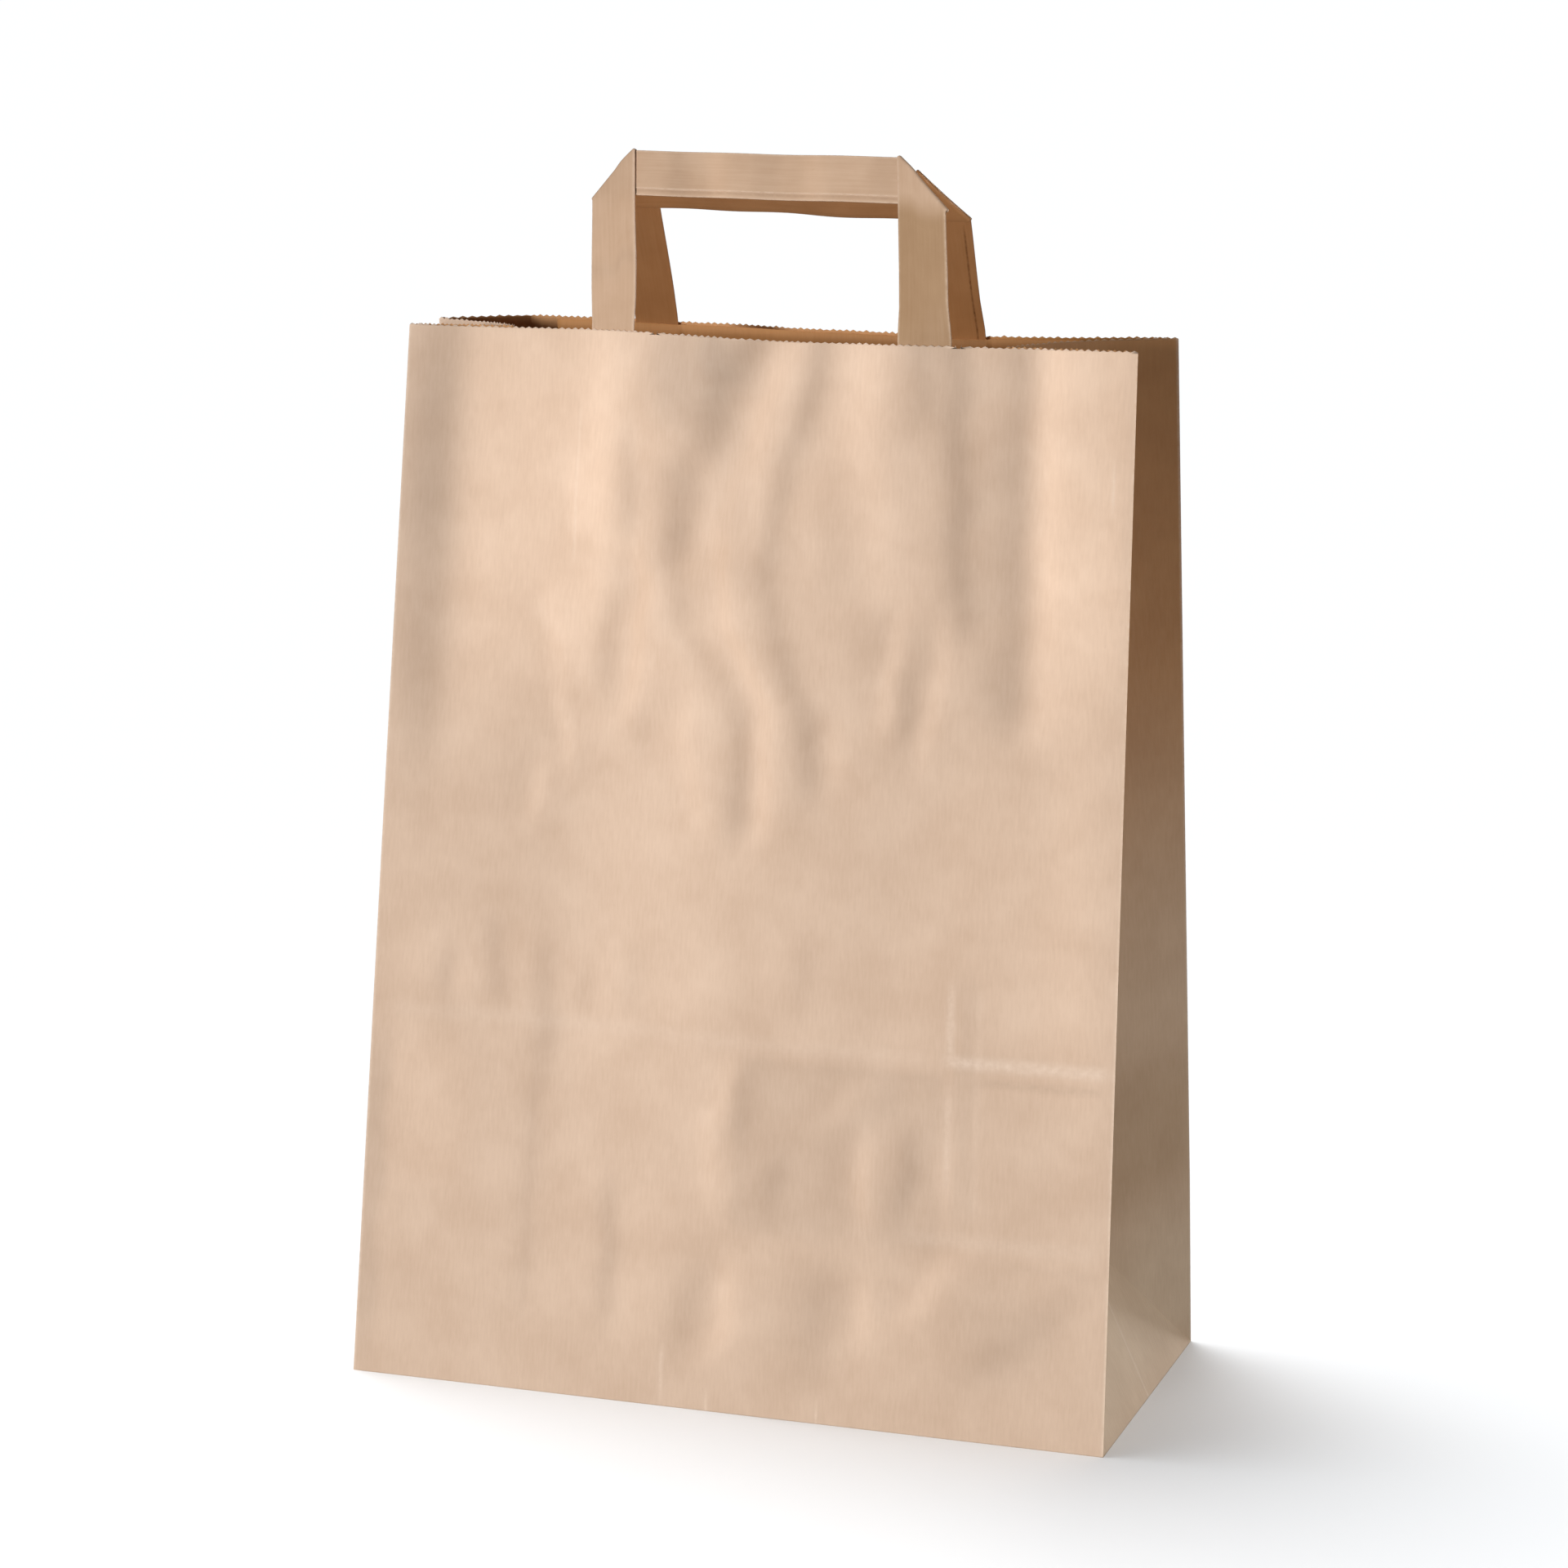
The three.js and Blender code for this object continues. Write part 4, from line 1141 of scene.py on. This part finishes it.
# The strips are seen only inside the mouth, so their orange brown is painted shade.
shaded_strip_kraft = kraft_material("shaded_strip_kraft", srgb(210, 152, 96), srgb(196, 138, 84), srgb(226, 184, 136))
for piece, finishes in ((bag_sheet, (body_kraft, inside_kraft)), (bag_floor, (body_kraft,)),
                        (front_tape, (tape_kraft,)), (back_tape, (back_tape_kraft,)),
                        (front_strip, (shaded_strip_kraft,)), (back_strip, (shaded_strip_kraft,))):
    for material in finishes:
        piece.data.materials.append(material)
bag_sheet.modifiers["paper"].material_offset = 1
print("inside layer takes", bag_sheet.data.materials[1].name)

# %% [markdown]
# ## Floor and light
#
# The bag stands on a plain white floor under a broad, high sun, which gives it a soft shadow to the
# right. One set of lights for floor and bag would be simpler, but then the floor burns out before the
# front is bright enough. So light linking lets each light reach only its own pieces: a low sun from
# the left rakes across the creases, softboxes light the front, the foot and the back, and small
# fills reach the tapes and the strip inside the mouth.

# %% Floor
FLOOR_SIDE = 400.0
FLOOR_GREY = (0.85, 0.85, 0.85, 1)
FLOOR_ROUGHNESS = 0.9


def studio_floor():
    half = FLOOR_SIDE / 2
    mesh = bpy.data.meshes.new("studio_floor")
    corners = [(-half, -half, 0), (half, -half, 0), (half, half, 0), (-half, half, 0)]
    mesh.from_pydata(corners, [], [(0, 1, 2, 3)])
    material = bpy.data.materials.new("floor_white")
    material.use_nodes = True
    shader = material.node_tree.nodes["Principled BSDF"]
    shader.inputs["Base Color"].default_value = FLOOR_GREY
    shader.inputs["Roughness"].default_value = FLOOR_ROUGHNESS
    shader.inputs["Specular IOR Level"].default_value = 0.0
    mesh.materials.append(material)
    floor = bpy.data.objects.new("studio_floor", mesh)
    bpy.context.scene.collection.objects.link(floor)
    floor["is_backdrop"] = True
    floor.visible_diffuse = False
    return floor


white_floor = studio_floor()
print("floor", FLOOR_SIDE, "m wide")

# %% [markdown]
# The fills cast no shadow. The one on the back tape has the brown of light that bounces about inside
# the bag. The floor throws no light back, and the white surround is bright only to the camera's eye:
# to the bag it is a faint glow.

# %% Lights
BAG_MIDDLE = Vector((0, 0, 0.2))


def studio_light(name, kind, place, strength, spread):
    """Light that faces the bag. Spread is a softbox's side in metres or a sun's width in degrees."""
    lamp = bpy.data.lights.new(name, kind)
    lamp.energy = strength
    if kind == "AREA":
        lamp.size = spread
    else:
        lamp.angle = math.radians(spread)
    light = bpy.data.objects.new(name, lamp)
    light.location = place
    light.rotation_euler = (BAG_MIDDLE - Vector(place)).to_track_quat("-Z", "Y").to_euler()
    bpy.context.scene.collection.objects.link(light)
    return light


def light_group(name, *lit):
    group = bpy.data.collections.new(name)
    for piece in lit:
        group.objects.link(piece)
    return group


lit_floor = light_group("lit_floor", white_floor)
lit_pieces = light_group("lit_pieces", *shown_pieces())
lit_sheet = light_group("lit_sheet", bag_sheet)
lit_front_tape = light_group("lit_front_tape", front_tape)
lit_back_tape = light_group("lit_back_tape", back_tape)
lit_back_strip = light_group("lit_back_strip", back_strip)
lit_body = light_group("lit_body", bag_sheet, bag_floor, front_tape)
# Each light: name, kind, place, strength, spread, what it reaches.
STUDIO_LIGHTS = [
    ("floor_sun", "SUN", (-0.5, 0.3, 2.0), 2.75, 34, lit_floor),
    ("floor_fill", "SUN", (0.0, -0.3, 2.0), 1.0, 24, lit_floor),
    ("side_sun", "SUN", (-1.3, -1.0, 0.25), 3.8, 12, lit_sheet),
    ("front_softbox", "AREA", (-0.1, -1.3, 0.26), 7, 0.4, lit_body),
    ("handle_softbox", "AREA", (-0.15, -1.3, 0.36), 10, 0.3, lit_front_tape),
    ("back_tape_fill", "SUN", (0.1, -1.3, 0.36), 1.7, 20, lit_back_tape),
    ("strip_fill", "AREA", (-0.22, -0.3, 0.6), 1.1, 0.1, lit_back_strip),
    ("overhead_sun", "SUN", (0.0, 0.0, 2.0), 0.8, 10, lit_pieces),
    ("low_softbox", "AREA", (0.9, 0.0, 0.06), 3.2, 0.3, lit_body),
    ("back_softbox", "AREA", (0.3, 1.7, 0.3), 20, 0.5, lit_pieces),
]
FLOOR_LIGHT_TINT = (0.98, 1.0, 1.02)
BOUNCE_TINT = (0.80, 0.53, 0.29)
SURROUND_LIGHT = 0.05
SHADOWLESS = ("floor_fill", "back_tape_fill", "strip_fill")
for name, kind, place, strength, spread, lit in STUDIO_LIGHTS:
    light = studio_light(name, kind, place, strength, spread)
    light.light_linking.receiver_collection = lit
    light.data.use_shadow = name not in SHADOWLESS
    if lit is lit_floor:
        light.data.color = FLOOR_LIGHT_TINT
    elif lit is lit_back_tape:
        light.data.color = BOUNCE_TINT
world = bpy.data.worlds.new("studio_surround")
world.use_nodes = True
surround = world.node_tree.nodes["Background"]
surround.inputs["Color"].default_value = (1, 1, 1, 1)
sky = Wiring(world.node_tree)
camera_ray = world.node_tree.nodes.new("ShaderNodeLightPath").outputs["Is Camera Ray"]
sky.join(sky.math("MAXIMUM", camera_ray, SURROUND_LIGHT), surround.inputs["Strength"])
bpy.context.scene.world = world
bpy.context.scene.view_settings.view_transform = "Standard"
